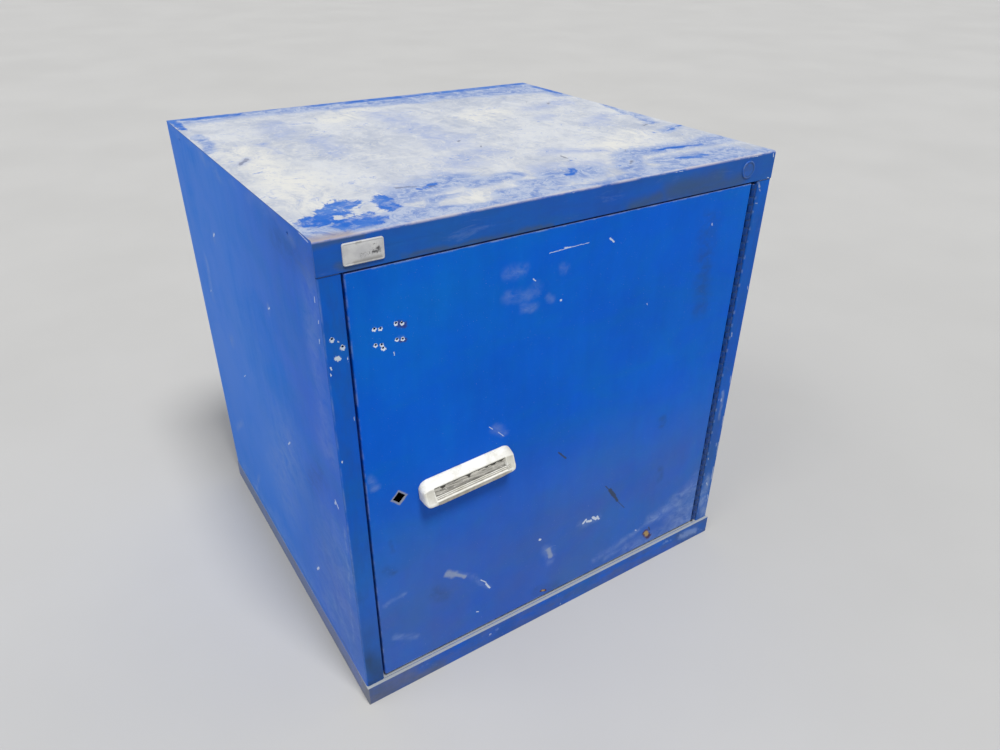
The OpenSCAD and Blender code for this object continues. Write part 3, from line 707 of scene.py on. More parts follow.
FASCIA_GRIME = [
    (540, 30, 640, 26, 30), (590, 40, 690, 34, 20), (470, 40, 520, 36, 18), (110, 41, 330, 41, 7),
    (0, 4, 60, 5, 7), (25, 36, 60, 40, 8),
]
FASCIA_CHIPS = [
    (354, 1, 362, 2.2, 2.4), (30, 1.5, 46, 1.5, 2.4), (545, 2, 560, 3, 1.8), (700, 1.6, 720, 2, 2.6),
    (757, 4, 758, 9, 1.4), (753, 41, 756, 42, 1.2), (182, 1, 192, 1.4, 1.8),
]

RESIDUE_WHITE = (0.545, 0.560, 0.585, 1)
RESIDUE_CREAM = (0.610, 0.605, 0.575, 1)
RESIDUE_GREY = (0.350, 0.385, 0.470, 1)
RESIDUE_BLUE = (0.270, 0.330, 0.520, 1)
RESIDUE_PALE = (0.400, 0.450, 0.560, 1)
RESIDUE_SPECK = (0.10, 0.11, 0.17, 1)
RESIDUE_PIT = (0.15, 0.17, 0.24, 1)
TOP_FILM = (0.100, 0.185, 0.450, 1)
TOP_BLUE = (0.060, 0.170, 0.500, 1)
TOP_BLUE_DEEP = (0.008, 0.110, 0.480, 1)


def residue_layers(surface, p):
    """Dried white residue in overlapping tide marks over the blue top sheet."""
    n = surface.n
    up = n.facing_up()
    bent = n.warped(n.warped(p, 9.0, 0.050), 45.0, 0.018)
    cloud = n.noise(bent, 7.0, 6.0, 0.64)
    brush = n.streaks(bent, (34, 12, 20), 6.0, 0.70, 0.9)
    fleck = n.noise(bent, 30.0, 7.0, 0.72, 1.2)
    tone = n.plus(n.times(cloud, 0.5), n.times(brush, 0.3))
    tone = n.plus(tone, n.times(fleck, 0.2))
    white = n.mix(n.smooth(tone, 0.38, 0.60), RESIDUE_GREY, RESIDUE_WHITE)
    cream = n.smooth(n.marks(bent, on_top, TOP_CREAM), 0.0, 0.9)
    white = n.mix(n.times(cream, n.smooth(brush, 0.28, 0.60)), white, RESIDUE_CREAM)
    thin = n.smooth(n.marks(bent, on_top, TOP_THIN), 0.0, 1.0)
    thin = n.times(thin, n.smooth(fleck, 0.24, 0.66))
    white = n.mix(n.times(thin, 0.85), white, RESIDUE_BLUE)
    blotch = n.smooth(fleck, 0.56, 0.72)
    white = n.mix(n.times(blotch, 0.35), white, RESIDUE_BLUE)
    mottle = n.noise(bent, 85.0, 6.0, 0.72, 1.4)
    white = n.mix(n.smooth(mottle, 0.52, 0.70, 0.0, 0.45), white, RESIDUE_BLUE)
    white = n.mix(n.smooth(mottle, 0.48, 0.32, 0.0, 0.40), white, RESIDUE_CREAM)
    ring = n.noise(bent, 15.0, 4.0, 0.6)
    tide = n.smooth(n.absolute(n.minus(ring, 0.5)), 0.018, 0.004)
    white = n.mix(n.times(tide, 0.35), white, RESIDUE_CREAM)

    kept = n.marks(bent, on_top, TOP_KEPT)
    torn = n.plus(n.times(fleck, 1.6), n.times(mottle, 1.3))
    torn = n.minus(torn, 1.45)
    torn = n.minus(torn, n.times(n.clamp(kept), 1.2))
    veil = n.plus(n.marks(bent, on_top, TOP_VEIL), torn)
    grain = n.plus(n.times(fleck, 0.6), n.times(mottle, 0.4))
    film = n.mix(n.smooth(grain, 0.40, 0.60), TOP_FILM, RESIDUE_PALE)
    layer = n.mix(n.smooth(veil, 0.10, 0.60, 0.0, 0.90), white, film)
    bare = n.plus(n.marks(bent, on_top, TOP_BARE), torn)
    bare = n.smooth(bare, 0.22, 0.46)
    blue = n.mix(n.smooth(n.noise(bent, 18.0, 5.0, 0.65), 0.38, 0.62), TOP_BLUE_DEEP, TOP_BLUE)
    scum = n.smooth(n.noise(p, 60.0, 5.0, 0.75), 0.48, 0.68)
    blue = n.mix(n.times(scum, 0.4), blue, RESIDUE_WHITE)
    layer = n.mix(bare, layer, blue)

    speck = n.ragged(n.marks(bent, on_top, TOP_DARK), p, 160.0, 0.42, 0.70, 1.1)
    layer = n.mix(n.times(speck, 0.6), layer, RESIDUE_SPECK)
    pinhole = n.smooth(n.noise(p, 90.0, 5.0, 0.8), 0.285, 0.245)
    layer = n.mix(n.times(pinhole, 0.55), layer, RESIDUE_PIT)
    surface.colour = n.mix(up, surface.colour, layer)
    dull = n.blend(bare, 0.82, 0.46)
    surface.rough = n.blend(up, surface.rough, dull)
    crust = n.times(n.minus(1.0, bare), n.noise(p, 85.0, 5.0, 0.7))
    surface.height = n.plus(surface.height, n.times(crust, up, 0.30))


def front_edge_wear(n, p):
    """Bare pale metal along the fold between the top sheet and the fascia."""
    _, y, z = n.axes(p)
    depth = n.minus(y, FRONT)
    drop = n.minus(TOP, z)
    edge = n.smooth(n.math("MAXIMUM", depth, drop), 0.0042, 0.0012)
    worn = n.smooth(n.streaks(p, (18, 40, 40), 6.0, 0.72), 0.36, 0.58)
    return n.times(edge, worn)


def top_material():
    n, p = new_material("top_paint")
    surface = blue_paint(n, p)
    soil = n.smooth(n.streaks(p, (6, 20, 24), 5.0, 0.65), 0.25, 0.75, 0.20, 0.42)
    surface.cover(soil, GRIME, 0.5)
    face = n.from_front(p)
    surface.rub(n.warped(face, 26.0, 0.02), on_front, FASCIA_GRIME, (0.0, 1.0), 0.50, FASCIA_SOIL, 0.6)
    surface.patch(n.streaks(p, (14, 40, 60), 6.0, 0.72, 0.7), (0.57, 0.72), 0.16, HAZE, 0.55)
    surface.scar(n.warped(face, 260.0, 0.0025), on_front, FASCIA_CHIPS, (400.0,), 0.85, CHIP, 0.5)
    add_grit(surface)
    residue_layers(surface, p)
    surface.cover(n.times(front_edge_wear(n, p), 0.7), FOLD_METAL, 0.5)
    corner = n.marks(n.warped(p, 40.0, 0.02), on_top, [(0, 0, 40, 0, 26)])
    corner = n.times(n.smooth(corner, 0.1, 0.9), n.facing_up())
    surface.cover(n.times(corner, 0.6), CORNER_RUST, 0.8)
    return surface.finish(0.0010, 0.13)


# ---------------------------------------------------------------- plinth and floor pan

PLINTH_DIRT = [(0, 770, 60, 765, 46), (20, 782, 130, 784, 16), (-2, 752, 12, 780, 26)]
PLINTH_SCUFFS = [
    (690, 765, 730, 770, 18), (706, 775, 740, 772, 10), (560, 770, 566, 772, 6), (96, 758, 110, 762, 8),
    (392, 770, 398, 772, 5), (640, 760, 660, 762, 9), (240, 762, 262, 764, 8),
]


def plinth_material():
    n, p = new_material("plinth_paint")
    surface = blue_paint(n, p)
    z = n.axes(p)[2]
    # Dust in drifts and along the bottom, in the dust colour that also paints shade
    drift = n.streaks(p, (14, 14, 40), 6.0, 0.7)
    low = n.smooth(z, 0.030, 0.004)
    dust = n.plus(n.times(n.smooth(drift, 0.36, 0.66), 0.55), n.times(low, 0.25))
    surface.cover(n.times(dust, 0.60), DUST_AND_SHADE, 0.75)
    soft = n.warped(p, 30.0, 0.018)
    surface.rub(soft, on_front, PLINTH_DIRT, (0.0, 0.8), 0.50, PLINTH_SOIL, 0.85)
    soil = n.smooth(n.noise(p, 26.0, 6.0, 0.7), 0.30, 0.70, 0.08, 0.34)
    surface.cover(soil, GRIME, 0.6)
    side = n.smooth(n.minus(n.axes(p)[0], PLINTH_LEFT), 0.0022, 0.0012)
    surface.cover(n.times(side, 0.50), PLINTH_SIDE, 0.85, 0.15)
    surface.scar(n.warped(p, 90.0, 0.008), on_front, PLINTH_SCUFFS, (150.0, 0.25, 0.75), 0.55, HAZE, 0.6)
    surface.patch(n.noise(p, 75.0, 5.0, 0.75), (0.66, 0.70), 0.7, CHIP, 0.55, -0.1)
    surface.patch(n.streaks(p, (30, 30, 60), 5.0, 0.75), (0.70, 0.76), 0.8, RUST, 0.9, 0.1)
    inside = n.smooth(n.axes(p)[1], FRONT + 0.020, FRONT + 0.060, 0.90, 0.42)
    add_ledge_dust(surface, inside)
    return surface.finish(0.0010, 0.12)


# ---------------------------------------------------------------- small parts


def grey_paint_material():
    """Shelf and standards: grey enamel, scratched where goods slide."""
    n, p = new_material("grey_paint")
    tone = n.noise(p, 8.0, 5.0, 0.6)
    colour = n.mix(n.smooth(tone, 0.35, 0.65), (0.27, 0.29, 0.305, 1), (0.36, 0.375, 0.385, 1))
    rough = n.plus(n.times(n.noise(p, 60.0, 4.0), 0.25), 0.30)
    surface = Surface(n, p, colour, rough, n.times(n.noise(p, 240.0, 2.0), 0.06))
    scratch = n.smooth(n.streaks(p, (260, 14, 30), 4.0, 0.7, 0.6), 0.66, 0.72)
    surface.cover(n.times(scratch, 0.6), (0.55, 0.55, 0.54, 1), 0.35, -0.1)
    surface.patch(n.noise(p, 20.0, 6.0, 0.75), (0.60, 0.72), 0.5, (0.12, 0.11, 0.095, 1), 0.6)
    add_ledge_dust(surface, 0.35)
    return surface.finish(0.0006)


def zinc_material():
    """Zinc-plated steel with white bloom and a little rust."""
    n, p = new_material("zinc_steel")
    bloom = n.smooth(n.noise(p, 180.0, 5.0, 0.7), 0.42, 0.66)
    colour = n.mix(bloom, (0.50, 0.50, 0.48, 1), (0.68, 0.69, 0.70, 1))
    rough = n.plus(n.times(bloom, 0.28), 0.28)
    surface = Surface(n, p, colour, rough, n.times(n.noise(p, 900.0, 3.0), 0.1))
    rust = n.smooth(n.noise(p, 120.0, 5.0, 0.75), 0.62, 0.72)
    surface.cover(n.times(rust, 0.7), RUST, 0.9, 0.1)
    metal = n.minus(1.0, rust)
    return surface.finish(0.0003, metallic=metal)


def rubber_material():
    n, p = new_material("black_rubber")
    worn = n.smooth(n.noise(p, 260.0, 4.0, 0.7), 0.45, 0.68)
    colour = n.mix(worn, (0.012, 0.012, 0.013, 1), (0.055, 0.055, 0.058, 1))
    rough = n.plus(n.times(worn, 0.2), 0.62)
    return finish_surface(n, colour, rough, n.noise(p, 1400.0, 3.0), 0.0002)


def plastic_material(name, light, dark, scale):
    """Aged moulded plastic: two tones in soft stains, fine scratches."""
    n, p = new_material(name)
    stain = n.smooth(n.noise(p, scale, 6.0, 0.7), 0.40, 0.68)
    colour = n.mix(stain, light, dark)
    rough = n.plus(n.times(n.noise(p, scale * 6, 4.0), 0.3), 0.32)
    return finish_surface(n, colour, rough, n.noise(p, 1100.0, 3.0), 0.0002)


# ---------------------------------------------------------------- pull handle


def front_middle(node):
    """Middle of a CAD node's box, moved to the body's front face."""
    low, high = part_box(node)
    return Vector(((low.x + high.x) / 2, FRONT, (low.z + high.z) / 2))


def from_face(middle, tilt=0.0):
    """From mm in a piece's own frame (x, towards the viewer, up) to its place on the front."""
    turn = Matrix.Rotation(-tilt, 4, "Y")
    return Matrix.Translation(middle) @ turn @ Matrix.Diagonal((MM, -MM, MM, 1))


PULL_MIDDLE = front_middle("pull_handle")
PULL_TILT = math.radians(3.5)
PULL_HALF = 78.5
PULL_HALF_HEIGHT = 20.0
PULL_END = 20.0
SLOT_HALF = 60.0
SLOT_FRONT_HALF = 60.9
TOP_CORNER = 14.5
LOW_CORNER = 12.5
# The ends' stand-out rises from END_FLAT of the whole over END_ROUND; the flat end panels are dished
END_ROUND = 5.5
END_FLAT = 0.26
DISH_DEPTH = 1.5
DISH_INNER, DISH_OUTER = 62.6, 73.2
DISH_LOW, DISH_HIGH = -11.8, 8.5

# Front of the pull as (height, stand-out) in mm, from the top edge down: plain ends, and the
# middle with its slot for a label, two fine ridges and a rolled lip
PULL_END_FRONT = [
    (20.0, 0.0), (20.0, 1.2), (19.5, 2.7), (18.4, 4.4), (15.6, 8.2), (12.9, 11.9), (11.3, 14.0),
    (10.4, 15.0), (9.7, 15.6), (9.3, 15.8), (8.6, 16.0), (4.0, 17.2), (0.0, 18.3), (-4.2, 19.5),
    (-4.6, 19.6), (-5.0, 19.8), (-5.6, 20.0), (-6.2, 20.2), (-6.5, 20.3), (-7.0, 20.5), (-7.3, 20.6),
    (-7.9, 20.8), (-8.5, 21.0), (-8.8, 21.1), (-9.3, 21.3), (-9.8, 21.5), (-10.7, 21.7), (-12.2, 21.9),
    (-14.0, 21.9), (-17.4, 21.4), (-20.0, 19.6),
]
PULL_SLOT_FRONT = [
    (20.0, 0.0), (20.0, 1.2), (19.5, 2.7), (18.4, 4.4), (15.6, 8.2), (12.9, 11.9), (11.3, 13.9),
    (10.4, 14.7), (9.7, 14.8), (9.3, 14.2), (9.2, 11.6), (4.0, 13.6), (0.0, 15.2), (-4.2, 16.8),
    (-4.6, 16.4), (-5.0, 17.6), (-5.6, 18.2), (-6.2, 17.8), (-6.5, 16.6), (-7.0, 16.6), (-7.3, 18.6),
    (-7.9, 19.3), (-8.5, 18.9), (-8.8, 17.7), (-9.3, 18.0), (-9.8, 20.6), (-10.7, 21.9), (-12.2, 21.9),
    (-13.2, 21.0), (-17.0, 20.9), (-20.0, 20.8),
]
PULL_INSIDE = [
    (-20.0, 17.6), (-17.0, 17.4), (-13.5, 16.6), (-10.0, 15.0), (-7.0, 13.0), (0.0, 11.2), (7.0, 9.6),
    (12.0, 6.6), (16.0, 2.0), (16.2, 0.0),
]


def pull_stations():
    """Places along the pull, in mm, close together at its ends and at the ends of the slot."""
    stations = [PULL_HALF - d for d in (0.0, 0.3, 0.9, 1.7, 2.6, 3.6, 4.8, 6.4, 8.2, 10.2, 12.6, 14.8)]
    stations += [62.0, 61.3, 60.9, 60.5, 60.0, 59.5, 58.6, 57.0]
    middle = [50.0 - 5.0 * i for i in range(21)]
    return [-s for s in stations] + sorted(middle) + sorted(stations)


def round_off(distance, radius):
    """Height factor of a rounded end: 1 inside, 0 at the very end."""
    inside = max(0.0, distance - (PULL_HALF - radius))
    return math.sqrt(max(0.0, 1.0 - (inside / radius) ** 2))


def fade_out(value, edge, softness):
    """1 well below the edge, 0 well above it."""
    return 1.0 / (1.0 + math.exp((value - edge) / softness))


def pull_loop(x):
    """Closed cross-section of the pull at x, as (x, stand-out, height) in mm."""
    reach = abs(x)
    share = min(1.0, max(0.0, (SLOT_FRONT_HALF - reach) / (SLOT_FRONT_HALF - SLOT_HALF)))
    hollow = reach < PULL_HALF - PULL_END
    rise = END_FLAT + (1.0 - END_FLAT) * round_off(reach, END_ROUND)
    dish = DISH_DEPTH * fade_out(reach, DISH_OUTER, 0.45) * fade_out(-reach, -DISH_INNER, 0.35)
    loop = []
    for (height, end_out), (slot_height, slot_out) in zip(PULL_END_FRONT, PULL_SLOT_FRONT):
        out = (end_out + (slot_out - end_out) * share) * rise
        height = height + (slot_height - height) * share
        out -= dish * fade_out(height, DISH_HIGH, 0.5) * fade_out(-height, -DISH_LOW, 0.5)
        corner = TOP_CORNER if height > 0 else LOW_CORNER
        drop = corner * (1.0 - round_off(reach, corner)) * (abs(height) / PULL_HALF_HEIGHT) ** 1.5
        loop.append((x, out, height - math.copysign(drop, height)))
    for height, out in PULL_INSIDE:
        if hollow:
            loop.append((x, out, height))
        else:
            corner = TOP_CORNER if height > 0 else LOW_CORNER
            limit = PULL_HALF_HEIGHT - corner * (1.0 - round_off(reach, corner))
            loop.append((x, 0.0, max(-limit, min(height, limit))))
    return loop


def mesh_object(name, bm, material, body, smooth_angle=0.7):
    """Turns a bmesh into a piece that rides on a body."""
    bmesh.ops.remove_doubles(bm, verts=bm.verts, dist=0.000002)
    bmesh.ops.recalc_face_normals(bm, faces=bm.faces)
    mesh = bpy.data.meshes.new(name)
    bm.to_mesh(mesh)
    bm.free()
    for face in mesh.polygons:
        face.use_smooth = True
    mesh.set_sharp_from_angle(angle=smooth_angle)
    piece = bpy.data.objects.new(name, mesh)
    bpy.context.scene.collection.objects.link(piece)
    mesh.materials.append(material)
    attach(piece, body)
    return piece


def bridge_loops(bm, loops, closed=True):
    """Quads between rows of vertices; each row is closed into a ring if asked."""
    rows = [[bm.verts.new(point) for point in loop] for loop in loops]
    for low, high in zip(rows, rows[1:]):
        count = len(low)
        for i in range(count if closed else count - 1):
            j = (i + 1) % count
            bm.faces.new((low[i], low[j], high[j], high[i]))
    return rows


def add_subdivision(piece, levels):
    modifier = piece.modifiers.new("subdivision", "SUBSURF")
    modifier.levels = levels
    modifier.render_levels = levels


def add_thickness(piece, thickness):
    modifier = piece.modifiers.new("thickness", "SOLIDIFY")
    modifier.thickness = thickness


PULL_WHITE = (0.79, 0.78, 0.73, 1)
PULL_YELLOWED = (0.64, 0.62, 0.54, 1)
GRIP_GREASE_AND_SHADE = (0.22, 0.18, 0.12, 1)
RIDGE_DIRT = (0.20, 0.18, 0.14, 1)
PANEL_FILM_AND_SHADE = (0.42, 0.40, 0.34, 1)
SCRATCH_DARK = (0.28, 0.26, 0.22, 1)
FLECK_DARK = (0.10, 0.09, 0.075, 1)
# Soft limits on the pull, in metres from its middle
MIDDLE_SHIFT = 0.0045
MIDDLE_PART = (0.0640, 0.0625)
UNDERSIDE = (-0.0120, -0.0132)
RIDGE_SHIFT = 0.0068
RIDGE_PITCH = 0.0012
RIDGE_GROOVE = (0.0009, 0.0003)
RIDGES_LOW = (-0.0102, -0.0096)
RIDGES_HIGH = (-0.0030, -0.0042)
PANEL_INNER = (0.0612, 0.0628)
PANEL_OUTER = (0.0742, 0.0728)
PANEL_SHIFT = 0.0016
PANEL_HALF = (0.0108, 0.0096)


def pull_material():
    """White moulded pull: yellowed, with grease and painted shade on the grip's underside, a film of
    dirt and painted shade on the dished end panels, and dirt in the ridges; the proud edges stay white.
    """
    n, p = new_material("pull_white")
    stain = n.smooth(n.noise(p, 38.0, 6.0, 0.7, 0.5), 0.38, 0.66)
    colour = n.mix(stain, PULL_WHITE, PULL_YELLOWED)
    rough = n.plus(n.times(n.noise(p, 260.0, 4.0), 0.30), 0.30)
    surface = Surface(n, p, colour, rough, n.times(n.noise(p, 500.0, 3.0), 0.2))
    offset = n.vector("SUBTRACT", p, PULL_MIDDLE)
    along = n.vector("DOT_PRODUCT", offset, (math.cos(PULL_TILT), 0, math.sin(PULL_TILT)))
    height = n.vector("DOT_PRODUCT", offset, (-math.sin(PULL_TILT), 0, math.cos(PULL_TILT)))
    film = n.smooth(n.noise(p, 95.0, 5.0, 0.7), 0.30, 0.70)
    middle = n.smooth(n.absolute(n.minus(along, MIDDLE_SHIFT)), *MIDDLE_PART)
    # Grease on the grip's underside, also painted shade below the lip
    under = n.times(n.smooth(height, *UNDERSIDE), middle)
    grip = n.plus(n.times(film, 0.30), 0.42)
    surface.cover(n.times(under, grip), GRIP_GREASE_AND_SHADE, 0.6)
    groove = n.math("PINGPONG", n.plus(height, RIDGE_SHIFT), RIDGE_PITCH)
    groove = n.times(n.smooth(groove, *RIDGE_GROOVE), n.smooth(height, *RIDGES_LOW))
    groove = n.times(groove, n.smooth(height, *RIDGES_HIGH))
    groove = n.times(groove, middle, n.blend(film, 0.5, 1.0))
    surface.cover(n.times(groove, 0.85), RIDGE_DIRT, 0.6)
    reach = n.absolute(along)
    # Dirt film on the dished end panels, also painted shade in the shallow dish
    panel = n.times(n.smooth(reach, *PANEL_INNER), n.smooth(reach, *PANEL_OUTER))
    panel = n.times(panel, n.smooth(n.absolute(n.plus(height, PANEL_SHIFT)), *PANEL_HALF))
    surface.cover(n.times(panel, n.blend(film, 0.22, 0.46)), PANEL_FILM_AND_SHADE, 0.5)
    scratch = n.smooth(n.streaks(p, (110, 400, 420), 4.0, 0.7, 1.2), 0.62, 0.69)
    surface.cover(n.times(scratch, 0.60), SCRATCH_DARK, 0.6, -0.3)
    surface.patch(n.noise(p, 330.0, 4.0, 0.8), (0.68, 0.73), 0.6, FLECK_DARK, 0.6)
    return surface.finish(0.0003)


def build_pull():
    bm = bmesh.new()
    loops = [pull_loop(x) for x in pull_stations()]
    rows = bridge_loops(bm, loops)
    for row in (rows[0], rows[-1]):
        bm.faces.new(row)
    bm.transform(from_face(PULL_MIDDLE, PULL_TILT))
    piece = mesh_object("pull_moulding", bm, pull_material(), "door", 0.9)
    add_subdivision(piece, 1)
    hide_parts("pull_handle")


SLOT_TOP = 9.2
SLOT_TOP_OUT = 11.6
SLOT_SLOPE = 0.390
LABEL_HALF = 59.4
LABEL_FOOT = -4.1


def slot_floor(height):
    """Stand-out of the slot's floor at a height, in mm."""
    return SLOT_TOP_OUT + max(0.0, SLOT_TOP - height) * SLOT_SLOPE


def torn_edge(x):
    """Height of the label's torn upper edge, in mm."""
    wander = noise.noise(Vector((x * 0.10, 3.1, 0.0))) * 3.2
    teeth = noise.noise(Vector((x * 0.9, 7.7, 0.0))) * 1.6
    bite = 4.0 * math.exp(-((x + 2.0) / 2.8) ** 2) + 2.6 * math.exp(-((x - 40.0) / 16.0) ** 2)
    bite += 2.4 * math.exp(-((x + 46.0) / 3.5) ** 2)
    return max(1.0, min(8.4, 6.9 + wander + teeth - bite))


def label_material():
    """Grey, dirty paper, torn white along its upper edge."""
    n, p = new_material("label_grey")
    fibre = n.streaks(p, (26, 300, 520), 6.0, 0.75, 0.8)
    colour = n.mix(n.smooth(fibre, 0.36, 0.64), (0.13, 0.125, 0.11, 1), (0.50, 0.48, 0.43, 1))
    streak = n.smooth(n.streaks(p, (30, 400, 700), 5.0, 0.75), 0.58, 0.66)
    colour = n.mix(n.times(streak, 0.7), colour, (0.09, 0.085, 0.08, 1))
    white = n.smooth(n.streaks(p, (120, 300, 500), 5.0, 0.7), 0.58, 0.66)
    colour = n.mix(n.times(white, 0.8), colour, (0.78, 0.77, 0.72, 1))
    rough = n.plus(n.times(fibre, 0.15), 0.78)
    return finish_surface(n, colour, rough, fibre, 0.0004)


def dark_slot_material():
    """Old glue and dirt on the floor of the label slot, dark enough to also paint the shade in the
    recess.
    """
    return plastic_material("slot_dirt_and_shade", (0.075, 0.070, 0.058, 1), (0.020, 0.019, 0.017, 1), 90.0)


def build_label():
    """What is left of the label: a torn card, and the floor of the slot behind it, dark with dirt and
    painted shade.
    """
    bm = bmesh.new()
    rows = []
    steps = 96
    for k in range(6):
        row = []
        for i in range(steps + 1):
            x = LABEL_HALF * (2 * i / steps - 1)
            top = torn_edge(x)
            height = LABEL_FOOT + (top - LABEL_FOOT) * k / 5
            curl = 0.55 * max(0.0, (k - 3) / 2) * (0.5 + noise.noise(Vector((x * 0.25, 1.0, 5.0))))
            row.append((x, slot_floor(height) + 0.30 + curl, height))
        rows.append(row)
    bridge_loops(bm, rows, closed=False)
    bm.transform(from_face(PULL_MIDDLE, PULL_TILT))
    piece = mesh_object("label_torn", bm, label_material(), "door")
    add_thickness(piece, 0.00025)
    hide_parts("label_card")

    # A dark sheet on the slot's floor: dirt and painted shade behind the torn card
    bm = bmesh.new()
    rows = []
    for height in (9.0, 4.0, 0.0, -4.0):
        rows.append([(x, slot_floor(height) + 0.12, height) for x in (-59.6, -30.0, 0.0, 30.0, 59.6)])
    bridge_loops(bm, rows, closed=False)
    bm.transform(from_face(PULL_MIDDLE, PULL_TILT))
    floor = mesh_object("label_slot_floor", bm, dark_slot_material(), "door")
    add_thickness(floor, 0.0001)


# ---------------------------------------------------------------- nameplate and blanking plug

PLATE_LOW, PLATE_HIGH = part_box("nameplate")
PLATE_MIDDLE = front_middle("nameplate")
PLATE_HALF = Vector((PLATE_HIGH.x - PLATE_LOW.x, PLATE_HIGH.z - PLATE_LOW.z)) / (2 * MM)
PEG_X = 18.0
PEG_RADIUS = 1.5
PEG_END = -6.0
# Inset from the outline and stand-out, in mm: rolled rim, shallow groove, domed field
PLATE_PROFILE = [
    (0.0, 0.0), (0.0, 1.0), (0.2, 1.6), (0.7, 2.1), (1.3, 2.25), (1.8, 2.1), (2.1, 1.9), (2.5, 1.95),
    (3.2, 2.15), (4.8, 2.4), (7.0, 2.6), (10.0, 2.72), (13.0, 2.76),
]


def rounded_outline(half_x, half_z, radius, steps=8):
    points = []
    corners = ((1, 1, 0), (-1, 1, 90), (-1, -1, 180), (1, -1, 270))
    for sx, sz, start in corners:
        for i in range(steps + 1):
            angle = math.radians(start + 90 * i / steps)
            x = sx * (half_x - radius) + radius * math.cos(angle)
            z = sz * (half_z - radius) + radius * math.sin(angle)
            points.append((x, z))
    return points


PLATE_BLACK = (0.030, 0.030, 0.033, 1)
PLATE_FLECK = (0.06, 0.06, 0.065, 1)
PLATE_SOIL = (0.16, 0.15, 0.12, 1)


def plate_material():
    """Off-white painted plate, blank but for a dark smudge, flecks and dirt; no lettering."""
    n, p = new_material("plate_white")
    tone = n.smooth(n.noise(p, 60.0, 5.0, 0.65), 0.35, 0.66)
    colour = n.mix(tone, (0.46, 0.46, 0.47, 1), (0.55, 0.55, 0.545, 1))
    rough = n.plus(n.times(n.noise(p, 300.0, 4.0), 0.3), 0.32)
    surface = Surface(n, p, colour, rough, n.times(n.noise(p, 500.0, 3.0), 0.15))

    def on_plate(x, z):
        return PLATE_MIDDLE + Vector((x * MM, -2.5 * MM, z * MM))

    wander = n.warped(p, 330.0, 0.0030)
    worn = [(17.4, 1.2, 18.6, -0.6, 5.2), (11.0, -2.0, 17.0, -2.6, 3.4)]
    surface.scar(wander, on_plate, worn, (420.0, 0.20, 1.00, 1.6), 0.95, PLATE_BLACK, 0.5)
    remains = n.marks(wander, on_plate, [(-3, -3.5, 13, -1.5, 5.0), (10, 4, 15, 6, 4.0)])
    flecks = n.smooth(n.noise(p, 620.0, 3.0, 0.7), 0.53, 0.62)
    fleck = n.times(n.smooth(remains, 0.1, 0.7), flecks)
    surface.cover(n.times(fleck, 0.75), PLATE_FLECK, 0.5)
    soiled = [(-12, -11, 20, -9.5, 4.5), (-8, 12, -3, 12.5, 2.5)]
    surface.rub(wander, on_plate, soiled, (0.0, 0.9), 0.45, PLATE_SOIL, 0.6)
    return surface.finish(0.0002)


def add_peg(bm, x, z, radius, start, end):
    """Round peg from one stand-out to another, in mm."""
    ring = turned_rows([(radius, start), (radius, end)], 16)
    rows = bridge_loops(bm, [[(x + dx, out, z + dz) for dx, out, dz in row] for row in ring])
    bm.faces.new(rows[1])
    bm.faces.new(rows[0])


def build_nameplate():
    bm = bmesh.new()
    loops = []
    for inset, out in PLATE_PROFILE:
        outline = rounded_outline(PLATE_HALF.x - inset, PLATE_HALF.y - inset, max(3.0 - inset, 0.6))
        loops.append([(x, out, z) for x, z in outline])
    rows = bridge_loops(bm, loops)
    bm.faces.new(rows[-1])
    bm.faces.new(rows[0])
    for side in (-1, 1):
        add_peg(bm, side * PEG_X, 0.0, PEG_RADIUS, -0.01, PEG_END)
    bm.transform(from_face(PLATE_MIDDLE))
    piece = mesh_object("nameplate_blank", bm, plate_material(), "cabinet", 0.6)
    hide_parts("nameplate")


PLUG_MIDDLE = front_middle("blanking_plug")
# Radius and stand-out in mm: hollow barrel behind the fascia, rolled rim, dished face
PLUG_PROFILE = [
    (9.4, -8.0), (11.0, -8.0), (11.0, -1.5), (11.0, 0.0), (13.75, 0.0), (13.75, 0.7), (13.5, 1.25),
    (12.9, 1.65), (12.0, 1.8), (11.2, 1.6), (10.4, 1.25), (9.4, 1.1), (6.0, 1.15), (2.5, 1.2),
    (0.6, 1.2),
]
PLUG_INSIDE = [(9.4, -8.0), (9.4, -0.6), (5.0, -0.6), (0.6, -0.6)]
# Worn rim and dirty groove of the plug, as radii in metres
PLUG_RIM = 0.0128
PLUG_GROOVE = 0.0105


def turned_rows(profile, steps):
    rows = []
    for radius, out in profile:
        angles = [math.tau * i / steps for i in range(steps)]
        rows.append([(radius * math.cos(a), out, radius * math.sin(a)) for a in angles])
    return rows


def plug_material():
    """Overpainted plug, with paint worn off its rim."""
    n, p = new_material("plug_paint")
    surface = blue_paint(n, p)
    offset = n.vector("SUBTRACT", p, PLUG_MIDDLE)
    x, _, z = n.axes(offset)
    radius = n.math("SQRT", n.plus(n.times(x, x), n.times(z, z)))
    rim = n.smooth(n.absolute(n.minus(radius, PLUG_RIM)), 0.0012, 0.0003)
    cloud = n.noise(p, 120.0, 5.0, 0.7)
    surface.cover(n.times(rim, n.smooth(cloud, 0.40, 0.62), 0.6), HAZE, 0.5)
    surface.cover(n.smooth(cloud, 0.30, 0.70, 0.25, 0.50), GRIME, 0.5)
    dirt = n.smooth(n.absolute(n.minus(radius, PLUG_GROOVE)), 0.0011, 0.0002)
    surface.cover(n.times(dirt, 0.55), GRIME, 0.6)
    add_grit(surface)
    return surface.finish(0.0006, 0.32)


def build_plug():
    bm = bmesh.new()
    for profile in (PLUG_PROFILE, PLUG_INSIDE):
        rows = bridge_loops(bm, turned_rows(profile, 64))
        bm.faces.new(rows[-1])
    bm.transform(from_face(PLUG_MIDDLE))
    piece = mesh_object("plug_cap", bm, plug_material(), "cabinet", 0.8)
    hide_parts("blanking_plug")


